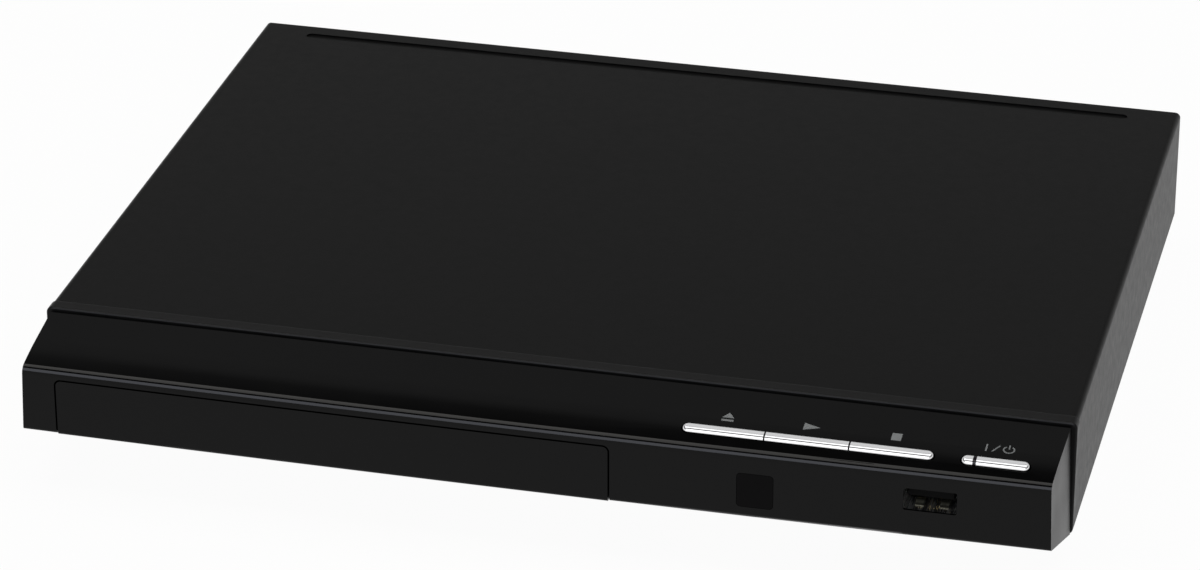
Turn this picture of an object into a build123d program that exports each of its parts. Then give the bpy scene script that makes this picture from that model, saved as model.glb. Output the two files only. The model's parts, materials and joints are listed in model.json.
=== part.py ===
from build123d import *
import os
from math import asin, atan2, cos, degrees, pi, radians, sin, sqrt, tan

os.makedirs("parts", exist_ok=True)

# A slim tray-loading disc player. X is across, -Y is the front, +Z is up, in millimetres.
# The origin is on the table, under the middle of the overall box.

# ---------------------------------------------------------------- overall sizes
WIDTH = 270.0            # across the rim of the front frame
HEIGHT = 38.5            # table to the top of the rim
BODY_DEPTH = 217.6       # nose of the front panel to the rear edge of the cover
FASCIA_DEPTH = 26.3      # nose of the front panel to the rim
JACK_REACH = 7.0         # jack barrels behind the rear panel
COVER_OVERHANG = 1.2     # cover edge behind the rear panel

# ---------------------------------------------------------------- walls and clearances
SHEET = 0.8              # steel sheet
WALL = 2.2               # moulded front panel
RIM_PROUD = 0.3          # rim stands this far above the painted cover
RIM_DEPTH = 4.3
RIM_WALL = 2.0
SEAM = 0.4               # shadow gap between the glossy panel and the rim
GAP = 0.3                # general clearance between pieces
RUN = 0.1                # radial clearance of a running fit

# ---------------------------------------------------------------- heights above the table
CHASSIS_Z = 6.2          # underside of the chassis plate
RIM_BOTTOM = 6.74
COVER_SIDE_Z = 6.8       # lower edge of the cover's sides
SLOPE_DROP = 0.9         # top of the sloping panel at the rim, below the rim's top
SLOPE_PITCH = 6.8        # degrees, from the rim to the start of the crown
NOSE_PITCH = 14.0        # degrees, where the crown meets the nose
CROWN_DEPTH = 12.0       # the slope curves down over this depth behind the nose
NOSE_RADIUS = 2.2
LOWER_RADIUS = 1.0
FRONT_BOTTOM = 15.95     # lower edge of the front face
UNDER_REAR = 6.9         # rear end of the slanted underside
PAD_HEIGHT = 1.2

# ---------------------------------------------------------------- front panel in plan
END_INSET = 2.2          # end faces inside the rim, at the nose and at mid height
END_MID_Z = 30.0
END_SPLAY = 2.06         # degrees, the ends spread towards the rim
END_LEAN = 1.95          # degrees, the ends spread towards the bottom
BOW = 1.0                # the front face bows forward this much in the middle

# ---------------------------------------------------------------- tray door, windows, buttons
DOOR_INSET = 11.2        # left end of the door, from the left side
DOOR_WIDTH = 145.3
DOOR_CORNER = 1.4
DOOR_BOTTOM = 15.4
DOOR_TOP = 31.0
DOOR_GAP = 0.45
DOOR_BACK = 3.0          # flat back of the door, behind the nose
WINDOW_INSET = 76.0      # middle of the remote control window, from the right side
WINDOW_Z = 23.4
WINDOW_W = 9.2
WINDOW_H = 9.3
USB_INSET = 32.1         # middle of the USB opening, from the right side
USB_Z = 26.1
USB_HOLE_W = 13.4
USB_HOLE_H = 6.1
USB_LIP = 0.7            # panel thickness round the USB opening
USB_SHEET = 0.3
BAR_BACK = 19.1          # button bars, this far in front of the rim
BAR_WIDTH = 3.3
BAR_PROUD = 0.9
BAR_DOME = 1.2
ROW_INSET = 32.6         # right end of the long bar, from the right side
ROW_LENGTH = 63.5
ROW_SPLITS = (21.0, 42.4)
SPLIT_GAP = 0.4
POWER_INSET = 8.7        # right end of the power bar, from the right side
POWER_LENGTH = 17.1
LAMP_FROM_END = 3.0
LAMP_WIDTH = 0.9
SLOT_GAP = 0.3
BUTTON_TRAVEL = 0.4

# ---------------------------------------------------------------- disc loader
LOADER_HALF = 71.0
LOADER_WALL = 2.0
LOADER_BASE = 9.0        # underside of the loader base
LOADER_FLOOR = 1.6
LOADER_TOP = 31.2
LOADER_LENGTH = 154.0    # rim to the rear of the loader
ARM_REACH = 19.0         # guide arms in front of the rim
TRAY_HALF = 66.5
TRAY_LENGTH = 172.0
TRAY_TOP = 28.6
TRAY_SKIRT = 18.9
TRAY_SHEET = 1.6
RECESS_R = 62.0
RECESS_FLOOR = 25.4
SMALL_RECESS_R = 41.5
SMALL_RECESS_FLOOR = 24.2
TRAY_SLOT = 44.0
NOTCH_HALF = 13.0        # finger notches in front of and behind the disc
NOTCH_REACH = 3.4
DISC_FROM_TRAY_FRONT = 67.6
BRIDGE_SHEET = 1.2
BRIDGE_LENGTH = 44.0
CLAMP_HOLE_R = 13.4

# ---------------------------------------------------------------- tray drive
MODULE = 1.0
TIP = 0.65
ROOT = 1.0
TOOTH = 1.15
RACK_LINE = 59.0         # rack pitch line, from the middle of the loader
RACK_TEETH_Z = (19.0, 21.5)
DRIVE_UPPER = 18
DRIVE_LOWER = 24
PINION = 9
DRIVE_BACK = 9.0         # drive gear axis behind the rim
PULLEY_R = 11.5
BELT_LINE = 11.1
MOTOR_BELT_LINE = 2.9
BELT = 1.2
MOTOR_SPAN = 33.5
MOTOR_R = 11.0
POST_R = 1.5

# ---------------------------------------------------------------- lift and traverse
LIFT_DROP = 4.44         # the lift pins sink this much over the slider's stroke
LIFT_STROKE = 20.0
LIFT_PIN_R = 1.5
LIFT_PIN_Z = 18.6
LIFT_PINS = (-20.0, 6.0)
TRAVERSE_HALF = 35.0
TRAVERSE_Z = (14.5, 16.5)
TRAVERSE_FRONT = 27.0    # in front of the disc axis
TRAVERSE_REAR = 84.0     # behind the disc axis
HINGE_BACK = 88.0
HINGE_Z = 15.5
HINGE_R = 2.0
SPINDLE_R = 11.5
TABLE_R = 15.0
TABLE_TOP = 26.9
LENS_START = 24.0
SLED_TRAVEL = 35.0
ROD_R = 1.5
ROD_Z = 18.6
SLED_RODS = (-25.0, 20.0)
SLED_AHEAD = 10.0        # pickup window in front of the lens at the inner track
SLED_BEHIND = 19.0       # and behind the lens at the outer track
SCREW_X = 27.0
SCREW_Z = 16.3
SCREW_R = 1.5

# ---------------------------------------------------------------- boards
FRONT_BOARD_TOP = 22.5
BOARD = 1.2
BOARD_Z = 11.0           # underside of the main and power boards
CABLE = 0.3              # front flat cable
CABLE_WIDTH = 6.0
CABLE_INSET = 1.0        # from the left end of the front board
CABLE_Z = 13.4           # its run through the front frame
BOARD_SIDE = 15.0        # main board, from the left side
POWER_BOARD_SIDE = 5.0   # power board, from the right side
POWER_BOARD_WIDTH = 54.0
POWER_BOARD_LENGTH = 121.5
BOARD_SPACE = 10.0       # between the main and power boards

# ---------------------------------------------------------------- feet and tabs
FOOT_INSET = 23.0        # feet and outer tabs, from the sides
FOOT_DEPTH = 22.0        # feet, from the rim and from the rear edge

# ---------------------------------------------------------------- derived places
half_width = WIDTH / 2
cover_half = half_width - RIM_PROUD
cover_top = HEIGHT - RIM_PROUD
cover_under = cover_top - SHEET
overall_depth = BODY_DEPTH + JACK_REACH - COVER_OVERHANG
nose_y = -overall_depth / 2
rim_y = nose_y + FASCIA_DEPTH
rear_y = nose_y + BODY_DEPTH
panel_out = rear_y - COVER_OVERHANG
panel_in = panel_out - SHEET
cover_front = rim_y + RIM_DEPTH + 0.2
chassis_top = CHASSIS_Z + SHEET
chassis_half = cover_half - SHEET - GAP
disc_y = nose_y + DOOR_BACK + DISC_FROM_TRAY_FRONT
tray_front = nose_y + DOOR_BACK
tray_rear = tray_front + TRAY_LENGTH
loader_rear = rim_y + LOADER_LENGTH
base_top = LOADER_BASE + LOADER_FLOOR
slope_top = HEIGHT - SLOPE_DROP
crown_y = nose_y + CROWN_DEPTH
crown_z = slope_top - (rim_y - SEAM - crown_y) * tan(radians(SLOPE_PITCH))
crown_r = CROWN_DEPTH / (sin(radians(NOSE_PITCH)) - sin(radians(SLOPE_PITCH)))
door_left = -half_width + DOOR_INSET
door_right = door_left + DOOR_WIDTH
loader_x = (door_left + door_right) / 2
window_x = half_width - WINDOW_INSET
usb_x = half_width - USB_INSET
row_right = half_width - ROW_INSET
row_left = row_right - ROW_LENGTH
power_right = half_width - POWER_INSET
power_left = power_right - POWER_LENGTH


def block(x, y, z, mode=Mode.ADD):
    """A box that fills the spans x, y and z, each a (low, high) pair."""
    with Locations(((x[0] + x[1]) / 2, (y[0] + y[1]) / 2, (z[0] + z[1]) / 2)):
        Box(x[1] - x[0], y[1] - y[0], z[1] - z[0], mode=mode)


def rod(axis, at, radius, span, mode=Mode.ADD):
    """A cylinder along an axis; at gives the other two coordinates, in X, Y, Z order."""
    middle = (span[0] + span[1]) / 2
    if axis == "Z":
        place = Location((at[0], at[1], middle))
    elif axis == "Y":
        place = Location((at[0], middle, at[1]), (90, 0, 0))
    else:
        place = Location((middle, at[0], at[1]), (0, 90, 0))
    with Locations(place):
        Cylinder(radius, span[1] - span[0], mode=mode)


def finish(piece, name):
    """Label a finished piece and write it to its own file."""
    piece.part.label = name
    export_step(piece.part, "parts/" + name + ".step")


# ================================================================ glossy front panel
bow_radius = half_width ** 2 / (2 * BOW)
bow_axis = Axis((0, nose_y + bow_radius, 0), (0, 0, 1))
bow_angle = degrees(asin((half_width + 2) / bow_radius))
behind_rim = rim_y + 8.0


def crown_sine(y):
    """Sine of the crown's pitch at a place between its start and the nose."""
    return sin(radians(SLOPE_PITCH)) + (crown_y - y) / crown_r


def slope_z(y):
    """Height of the top: straight from the rim, then curving down to the nose."""
    if y > crown_y:
        return slope_top - (rim_y - SEAM - y) * tan(radians(SLOPE_PITCH))
    return crown_z - crown_r * (cos(radians(SLOPE_PITCH)) - sqrt(1 - crown_sine(y) ** 2))


def underside_z(y):
    """Height of the slanted underside at a place behind the nose."""
    return FRONT_BOTTOM - (y - nose_y) * (FRONT_BOTTOM - UNDER_REAR) / (FASCIA_DEPTH - SEAM)


bar_y = rim_y - BAR_BACK
bar_pitch = asin(crown_sine(bar_y))
bar_plane = Plane(
    origin=(0, bar_y, slope_z(bar_y)), x_dir=(1, 0, 0), z_dir=(0, -sin(bar_pitch), cos(bar_pitch)))
mid_crown = nose_y + CROWN_DEPTH / 2

with BuildSketch(Plane.YZ) as fascia_profile:
    with BuildLine():
        ThreePointArc(
            (crown_y, slope_z(crown_y)), (mid_crown, slope_z(mid_crown)), (nose_y, slope_z(nose_y)))
        Polyline(
            (nose_y, slope_z(nose_y)),
            (nose_y, FRONT_BOTTOM),
            (behind_rim, underside_z(behind_rim)),
            (behind_rim, slope_z(behind_rim)),
            (crown_y, slope_z(crown_y)))
    make_face()
    # in the sketch, X runs along the depth and Y is up
    nose_corner = fascia_profile.vertices().group_by(Axis.X)[0].sort_by(Axis.Y)[-1]
    fillet(nose_corner, NOSE_RADIUS)
    lower_corner = fascia_profile.vertices().group_by(Axis.X)[0].sort_by(Axis.Y)[0]
    fillet(lower_corner, LOWER_RADIUS)

with BuildSketch(Plane.YZ) as cavity_profile:
    add(fascia_profile.sketch_local)
    offset(amount=-WALL, kind=Kind.INTERSECTION, mode=Mode.REPLACE)

end_front = half_width - END_INSET - (HEIGHT - END_MID_Z) * sin(radians(END_LEAN))
with BuildPart() as fascia_cavity:
    revolve(cavity_profile.sketch, axis=bow_axis, revolution_arc=bow_angle)
    mirror(about=Plane.YZ)
    block(
        (-end_front + WALL, end_front - WALL),
        (rim_y - 2 * FASCIA_DEPTH, rim_y + FASCIA_DEPTH),
        (0, 2 * HEIGHT),
        mode=Mode.INTERSECT)

row_middle = (row_left + row_right) / 2
power_middle = (power_left + power_right) / 2
usb_face_y = nose_y + usb_x ** 2 / (2 * bow_radius)
usb_back_y = usb_face_y + USB_LIP

with BuildPart() as front_fascia:
    revolve(fascia_profile.sketch, axis=bow_axis, revolution_arc=bow_angle)
    mirror(about=Plane.YZ)
    block((-WIDTH, WIDTH), (nose_y - 1, rim_y - SEAM), (0, 2 * HEIGHT), mode=Mode.INTERSECT)
    # leaning end faces
    for side in (-1, 1):
        end_plane = Plane(
            origin=(side * (half_width - END_INSET), nose_y + 1, END_MID_Z), x_dir=(0, 0, 1),
            z_dir=(side, -sin(radians(END_SPLAY)), sin(radians(END_LEAN))))
        with BuildSketch(end_plane) as end_cut:
            Rectangle(3 * HEIGHT, 4 * FASCIA_DEPTH)
        extrude(end_cut.sketch, amount=20, mode=Mode.SUBTRACT)
    add(fascia_cavity.part, mode=Mode.SUBTRACT)
    # tray door opening, open through the lower edge
    door_hole_low = FRONT_BOTTOM - 6
    door_hole_high = DOOR_TOP + DOOR_GAP
    with BuildSketch(Plane.XZ.offset(-nose_y - DOOR_BACK - 0.6)) as door_hole:
        with Locations((loader_x, (door_hole_low + door_hole_high) / 2)):
            Rectangle(DOOR_WIDTH + 2 * DOOR_GAP, door_hole_high - door_hole_low)
        fillet(door_hole.vertices().group_by(Axis.Y)[-1], DOOR_CORNER + DOOR_GAP)
    extrude(door_hole.sketch, amount=DOOR_BACK + 3, mode=Mode.SUBTRACT)
    # thinner wall round the USB socket
    block(
        (usb_x - USB_HOLE_W / 2 - 2 * USB_SHEET, usb_x + USB_HOLE_W / 2 + 2 * USB_SHEET),
        (usb_back_y, usb_back_y + 2 * WALL),
        (USB_Z - USB_HOLE_H / 2 - 2 * USB_SHEET, USB_Z + USB_HOLE_H / 2 + 2 * USB_SHEET),
        mode=Mode.SUBTRACT)
    # remote control window and USB opening
    with BuildSketch(Plane.XZ.offset(-nose_y - 5)) as face_holes:
        with Locations((window_x, WINDOW_Z)):
            RectangleRounded(WINDOW_W + 0.2, WINDOW_H + 0.2, 1.1)
        with Locations((usb_x, USB_Z)):
            RectangleRounded(USB_HOLE_W, USB_HOLE_H, 0.5)
    extrude(face_holes.sketch, amount=10, mode=Mode.SUBTRACT)
    # slots for the button bars
    with BuildSketch(bar_plane.offset(3)) as bar_slots:
        with Locations((row_middle, 0)):
            SlotOverall(ROW_LENGTH + 2 * SLOT_GAP, BAR_WIDTH + 2 * SLOT_GAP)
        with Locations((power_middle, 0)):
            SlotOverall(POWER_LENGTH + 2 * SLOT_GAP, BAR_WIDTH + 2 * SLOT_GAP)
    extrude(bar_slots.sketch, amount=-9, mode=Mode.SUBTRACT)
finish(front_fascia, "front_fascia")

# ================================================================ matt front frame with the rim
window_left = loader_x - LOADER_HALF - 0.8
window_right = loader_x + LOADER_HALF + 0.8
shelf_z = (FRONT_BOARD_TOP - BOARD - 1.8, FRONT_BOARD_TOP - BOARD)
front_board_x = (door_right + 8.5, half_width - 4 - WALL)
shelf_xs = (front_board_x[0] + 14, front_board_x[1] - 6.8)
cable_x = (front_board_x[0] + CABLE_INSET, front_board_x[0] + CABLE_INSET + CABLE_WIDTH)
cable_z = (CABLE_Z, CABLE_Z + CABLE)
with BuildPart() as front_frame:
    with BuildSketch(Plane.XZ.offset(-rim_y - RIM_DEPTH)) as rim_outline:
        with BuildLine():
            Polyline(
                (-half_width, RIM_BOTTOM), (half_width, RIM_BOTTOM),
                (half_width, HEIGHT), (-half_width, HEIGHT), close=True)
        make_face()
        fillet(rim_outline.vertices().group_by(Axis.Y)[-1], 1.8)
        fillet(rim_outline.vertices().group_by(Axis.Y)[0], 1.6)
    extrude(rim_outline.sketch, amount=RIM_DEPTH)
    rim_front_edges = front_frame.faces().sort_by(Axis.Y)[0].outer_wire().edges()
    rim_rear_edges = front_frame.faces().sort_by(Axis.Y)[-1].outer_wire().edges()
    fillet(rim_front_edges + rim_rear_edges, 0.6)
    block(
        (-half_width + RIM_WALL, half_width - RIM_WALL),
        (rim_y + 2, rim_y + RIM_DEPTH + 1),
        (RIM_BOTTOM + RIM_WALL, HEIGHT - RIM_WALL),
        mode=Mode.SUBTRACT)
    block(
        (window_left, window_right), (rim_y - 1, rim_y + 3),
        (RIM_BOTTOM + RIM_WALL, LOADER_TOP + 1.4),
        mode=Mode.SUBTRACT)
    # cable pass and board shelves
    block(
        (cable_x[0] - 2, cable_x[1] + 2), (rim_y - 1, rim_y + 3), (cable_z[0] - 1.4, cable_z[1] + 2.3),
        mode=Mode.SUBTRACT)
    for shelf_x in shelf_xs:
        block((shelf_x - 4, shelf_x + 4), (rim_y - 17, rim_y + 1), shelf_z)
        rod("Z", (shelf_x, rim_y - 12), 1.1, (shelf_z[0] - 1, shelf_z[1] + 1), mode=Mode.SUBTRACT)
        block((shelf_x - 0.8, shelf_x + 0.8), (rim_y - 10, rim_y + 1), (shelf_z[0] - 4, shelf_z[0]))
finish(front_frame, "front_frame")

# ================================================================ painted steel cover
groove_back = 6.3
groove_half = half_width - 14.5
foot_half = half_width - FOOT_INSET
rear_tabs = (-foot_half, 0.0, foot_half)
tab_z = HEIGHT - 5.5
with BuildPart() as top_cover:
    with BuildSketch(Plane.XZ.offset(-rear_y)) as cover_outline:
        with BuildLine():
            Polyline(
                (-cover_half, COVER_SIDE_Z), (cover_half, COVER_SIDE_Z),
                (cover_half, cover_top), (-cover_half, cover_top), close=True)
        make_face()
        fillet(cover_outline.vertices().group_by(Axis.Y)[-1], 1.5)
    extrude(cover_outline.sketch, amount=rear_y - cover_front)
    with BuildSketch(Plane.XZ.offset(-rear_y - 1)) as cover_inside:
        with BuildLine():
            Polyline(
                (-cover_half + SHEET, 0), (cover_half - SHEET, 0),
                (cover_half - SHEET, cover_under), (-cover_half + SHEET, cover_under), close=True)
        make_face()
        fillet(cover_inside.vertices().group_by(Axis.Y)[-1], 0.7)
    extrude(cover_inside.sketch, amount=BODY_DEPTH + 5, mode=Mode.SUBTRACT)
    # pressed groove near the rear edge
    with BuildSketch(Plane.XY.offset(cover_top + 0.6)) as groove_outline:
        with Locations((0, rear_y - groove_back)):
            SlotOverall(2 * groove_half, 3.0)
    extrude(groove_outline.sketch, amount=-1.0, mode=Mode.SUBTRACT)
    # tabs over the rear panel
    for tab_x in rear_tabs:
        block((tab_x - 7, tab_x + 7), (panel_out, panel_out + SHEET), (tab_z - 4.5, cover_under + 0.2))
        rod("Y", (tab_x, tab_z), 1.6, (panel_out - 1, rear_y), mode=Mode.SUBTRACT)
finish(top_cover, "top_cover")

# ================================================================ chassis plate
front_feet_y = rim_y + FOOT_DEPTH
rear_feet_y = rear_y - FOOT_DEPTH
loader_bolts = [(loader_x + sx * 58, rim_y + by) for sx in (-1, 1) for by in (28, 144)]
power_board_x = (half_width - POWER_BOARD_SIDE - POWER_BOARD_WIDTH, half_width - POWER_BOARD_SIDE)
power_board_y = (panel_in - 2.4 - POWER_BOARD_LENGTH, panel_in - 2.4)
power_mid = (power_board_x[0] + power_board_x[1]) / 2
main_board_x = (-half_width + BOARD_SIDE, power_board_x[0] - BOARD_SPACE)
main_board_y = (loader_rear + 2.4, panel_in - 2.4)
main_mid = (main_board_x[0] + main_board_x[1]) / 2
main_bolts = [(x, y) for x in (main_board_x[0] + 5, main_board_x[1] - 5)
              for y in (main_board_y[0] + 5, main_board_y[1] - 5)]
power_bolts = [(x, y) for x in (power_board_x[0] + 5, power_board_x[1] - 5)
               for y in (power_board_y[0] + 5, power_board_y[1] - 22)]
flange_top = 21.0
with BuildPart() as bottom_chassis:
    block((-chassis_half, chassis_half), (cover_front, panel_out), (CHASSIS_Z, chassis_top))
    for side in (-1, 1):
        edges_x = sorted((side * chassis_half, side * (chassis_half - SHEET)))
        block(edges_x, (cover_front, panel_out), (chassis_top - 0.1, flange_top))
    for bolt in loader_bolts:
        rod("Z", bolt, 5.0, (CHASSIS_Z, LOADER_BASE))
        rod("Z", bolt, 1.3, (CHASSIS_Z - 1, LOADER_BASE + 1), mode=Mode.SUBTRACT)
    for bolt in main_bolts + power_bolts:
        rod("Z", bolt, 3.5, (CHASSIS_Z, BOARD_Z))
        rod("Z", bolt, 1.1, (CHASSIS_Z - 1, BOARD_Z + 1), mode=Mode.SUBTRACT)
    # cooling slots under the boards
    with BuildSketch(Plane.XY.offset(CHASSIS_Z - 1)) as floor_slots:
        with Locations((power_mid, (power_board_y[0] + power_board_y[1]) / 2)):
            with GridLocations(6, 30, 5, 2):
                SlotOverall(22, 2.4, rotation=90)
        with Locations((main_mid, main_board_y[0] + 16)):
            with GridLocations(6, 30, 12, 1):
                SlotOverall(14, 2.4, rotation=90)
    extrude(floor_slots.sketch, amount=3, mode=Mode.SUBTRACT)
finish(bottom_chassis, "bottom_chassis")

foot_places = [(sx * foot_half, fy) for sx in (-1, 1) for fy in (front_feet_y, rear_feet_y)]
with BuildPart() as feet:
    for place in foot_places:
        with BuildSketch(Plane.XY.offset(CHASSIS_Z)) as foot_top:
            with Locations(place):
                Circle(9.0)
        extrude(foot_top.sketch, amount=-(CHASSIS_Z - PAD_HEIGHT), taper=14)
finish(feet, "feet")

with BuildPart() as foot_pads:
    for place in foot_places:
        rod("Z", place, 6.4, (0, PAD_HEIGHT))
    fillet(foot_pads.edges().group_by(Axis.Z)[0], 0.3)
finish(foot_pads, "foot_pads")

# ================================================================ rear panel and its sockets
hdmi_x = main_board_x[1] - 20
hdmi_z = BOARD_Z + BOARD + 3.2
av_xs = (main_mid - 29, main_mid - 15, main_mid - 1)
coax_x = main_mid - 51
jack_z = BOARD_Z + BOARD + 8.0
barrel_r = 4.15
inlet_x = power_mid + 5
inlet_z = BOARD_Z + BOARD + 8.5
inlet_w = 21.0
inlet_h = 13.0
with BuildPart() as rear_panel:
    block(
        (-chassis_half + SHEET + GAP, chassis_half - SHEET - GAP), (panel_in, panel_out),
        (chassis_top, cover_under - GAP))
    block(
        (hdmi_x - 8.2, hdmi_x + 8.2), (panel_in - 1, panel_out + 1), (hdmi_z - 3.5, hdmi_z + 3.5),
        mode=Mode.SUBTRACT)
    block(
        (inlet_x - inlet_w / 2 - 0.15, inlet_x + inlet_w / 2 + 0.15), (panel_in - 1, panel_out + 1),
        (inlet_z - inlet_h / 2 - 0.15, inlet_z + inlet_h / 2 + 0.15), mode=Mode.SUBTRACT)
    for jack_x in av_xs + (coax_x,):
        rod("Y", (jack_x, jack_z), barrel_r + 0.4, (panel_in - 1, panel_out + 1), mode=Mode.SUBTRACT)
    for tab_x in rear_tabs:
        rod("Y", (tab_x, tab_z), 1.6, (panel_in - 1, panel_out + 1), mode=Mode.SUBTRACT)
    with BuildSketch(Plane.XZ.offset(-panel_out - 1)) as vents:
        with Locations((main_mid + 35, 22)):
            with GridLocations(5, 13, 7, 2):
                SlotOverall(10, 2.2, rotation=90)
        with Locations((power_mid - 21, 27)):
            with GridLocations(5, 13, 3, 1):
                SlotOverall(10, 2.2, rotation=90)
    extrude(vents.sketch, amount=4, mode=Mode.SUBTRACT)
finish(rear_panel, "rear_panel")

with BuildPart() as hdmi_socket:
    block((hdmi_x - 7.6, hdmi_x + 7.6), (panel_out - 12.5, panel_out + 0.6), (BOARD_Z + BOARD, hdmi_z + 2.9))
    with BuildSketch(Plane.XZ.offset(-panel_out - 2)) as hdmi_mouth:
        with BuildLine():
            Polyline(
                (hdmi_x - 7.05, hdmi_z + 2.3), (hdmi_x + 7.05, hdmi_z + 2.3),
                (hdmi_x + 7.05, hdmi_z - 0.6), (hdmi_x + 5.6, hdmi_z - 2.3),
                (hdmi_x - 5.6, hdmi_z - 2.3), (hdmi_x - 7.05, hdmi_z - 0.6), close=True)
        make_face()
    extrude(hdmi_mouth.sketch, amount=11, mode=Mode.SUBTRACT)
    block((hdmi_x - 5.9, hdmi_x + 5.9), (panel_out - 10, panel_out - 1), (hdmi_z - 0.2, hdmi_z + 0.8))
finish(hdmi_socket, "hdmi_socket")


def jack_shell(places, z_low, z_high):
    """A moulded jack housing with one barrel sleeve for each place along X."""
    block((places[0] - 6.6, places[-1] + 6.6), (panel_in - 11, panel_in), (z_low, z_high))
    for place in places:
        rod("Y", (place, jack_z), barrel_r, (panel_in - 1, panel_out + JACK_REACH))
        rod("Y", (place, jack_z), 1.75, (panel_in - 8, panel_out + JACK_REACH + 1), mode=Mode.SUBTRACT)


with BuildPart() as av_jacks:
    jack_shell(av_xs, BOARD_Z + BOARD, jack_z + 6.4)
finish(av_jacks, "av_jacks")

with BuildPart() as coax_jack:
    jack_shell((coax_x,), BOARD_Z + BOARD, jack_z + 6.4)
finish(coax_jack, "coax_jack")

pin_half = 4.3
with BuildPart() as mains_inlet:
    block(
        (inlet_x - inlet_w / 2, inlet_x + inlet_w / 2), (panel_in - 14, panel_out + 0.5),
        (inlet_z - inlet_h / 2, inlet_z + inlet_h / 2))
    block(
        (inlet_x - inlet_w / 2, inlet_x + inlet_w / 2), (panel_in - 14, panel_in - 0.4),
        (BOARD_Z + BOARD, inlet_z))
    with BuildSketch(Plane.XZ.offset(-panel_out - 1)) as inlet_mouth:
        with Locations((inlet_x, inlet_z)):
            SlotOverall(16.6, 8.4)
    extrude(inlet_mouth.sketch, amount=12.5, mode=Mode.SUBTRACT)
finish(mains_inlet, "mains_inlet")

with BuildPart() as inlet_pins:
    for side in (-1, 1):
        rod("Y", (inlet_x + side * pin_half, inlet_z), 1.2, (panel_out - 11.5, panel_out - 2.0))
    fillet(inlet_pins.edges().group_by(Axis.Y)[-1], 0.5)
finish(inlet_pins, "inlet_pins")

with BuildPart() as rear_screws:
    for tab_x in rear_tabs:
        rod("Y", (tab_x, tab_z), 2.8, (panel_out + SHEET, panel_out + SHEET + 1.7))
        rod("Y", (tab_x, tab_z), 1.45, (panel_in - 4, panel_out + SHEET + 0.1))
    fillet(rear_screws.edges().group_by(Axis.Y)[-1], 0.6)
    for tab_x in rear_tabs:
        for turn in (0, 90):
            with Locations(Location((tab_x, panel_out + SHEET + 1.7, tab_z), (0, turn, 0))):
                Box(3.0, 1.6, 0.6, mode=Mode.SUBTRACT)
finish(rear_screws, "rear_screws")

# ================================================================ window, lamp and buttons
with BuildPart() as remote_window:
    revolve(fascia_profile.sketch, axis=bow_axis, revolution_arc=bow_angle)
    with BuildSketch(Plane.XZ.offset(-nose_y - 2.4)) as window_outline:
        with Locations((window_x, WINDOW_Z)):
            RectangleRounded(WINDOW_W, WINDOW_H, 1.0)
    extrude(window_outline.sketch, amount=10, mode=Mode.INTERSECT)
finish(remote_window, "remote_window")

tact_top = FRONT_BOARD_TOP + 4.6
button_drop = (slope_z(bar_y) - tact_top) / cos(bar_pitch) - BUTTON_TRAVEL - 0.15
flange_depth = WALL + 0.5


def push_button(x_low, x_high, bar_x, bar_length, stem_x):
    """A bar button in its slot: a domed chrome cap, a retaining flange and a stem."""
    with BuildSketch(bar_plane.offset(-flange_depth)) as cap:
        with Locations((bar_x, 0)):
            SlotOverall(bar_length, BAR_WIDTH)
        with Locations(((x_low + x_high) / 2, 0)):
            Rectangle(x_high - x_low, BAR_WIDTH + 1, mode=Mode.INTERSECT)
    extrude(cap.sketch, amount=flange_depth + BAR_PROUD)
    with BuildSketch(bar_plane.offset(-flange_depth - 0.8)) as flange:
        with Locations(((x_low + x_high) / 2, 0)):
            Rectangle(x_high - x_low - 0.6, BAR_WIDTH + 2.4)
    extrude(flange.sketch, amount=0.8)
    with BuildSketch(bar_plane.offset(-button_drop)) as stem:
        with Locations((stem_x, 0)):
            Circle(1.4)
    extrude(stem.sketch, amount=button_drop - flange_depth)


def dome_edges(button):
    """Edges of a cap's top that are rounded: all but the flat splits between two caps."""
    top = button.faces().sort_by(Axis((0, 0, 0), bar_plane.z_dir))[-1]
    return [e for e in top.edges() if e.geom_type != GeomType.LINE or abs(e.tangent_at(0).X) > 0.5]


split_xs = [row_left + split for split in ROW_SPLITS]
row_spans = [
    (row_left, split_xs[0] - SPLIT_GAP / 2),
    (split_xs[0] + SPLIT_GAP / 2, split_xs[1] - SPLIT_GAP / 2),
    (split_xs[1] + SPLIT_GAP / 2, row_right)]
stem_places = [(low + high) / 2 for low, high in row_spans]
stem_places[2] = row_right - 14.5
power_stem = power_middle + 1.5

with BuildPart() as eject_button:
    push_button(*row_spans[0], row_middle, ROW_LENGTH, stem_places[0])
    fillet(dome_edges(eject_button), BAR_DOME)
finish(eject_button, "eject_button")

with BuildPart() as play_button:
    push_button(*row_spans[1], row_middle, ROW_LENGTH, stem_places[1])
    fillet(dome_edges(play_button), BAR_DOME)
finish(play_button, "play_button")

with BuildPart() as stop_button:
    push_button(*row_spans[2], row_middle, ROW_LENGTH, stem_places[2])
    fillet(dome_edges(stop_button), BAR_DOME)
finish(stop_button, "stop_button")

lamp_low = power_left + LAMP_FROM_END
with BuildPart() as power_button:
    push_button(power_left, power_right, power_middle, POWER_LENGTH, power_stem)
    fillet(dome_edges(power_button), BAR_DOME)
    with BuildSketch(bar_plane.offset(-1.4)) as lamp_seat:
        with Locations((lamp_low + LAMP_WIDTH / 2, 0)):
            Rectangle(LAMP_WIDTH, BAR_WIDTH + 1)
    extrude(lamp_seat.sketch, amount=4, mode=Mode.SUBTRACT)
finish(power_button, "power_button")

with BuildPart() as standby_lamp:
    with BuildSketch(bar_plane.offset(-1.4)) as lamp_outline:
        with Locations((lamp_low + LAMP_WIDTH / 2, 0)):
            Rectangle(LAMP_WIDTH, BAR_WIDTH - 0.2)
    extrude(lamp_outline.sketch, amount=1.4 + BAR_PROUD - 0.15)
    fillet(dome_edges(standby_lamp), BAR_DOME - 0.1)
finish(standby_lamp, "standby_lamp")

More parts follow.
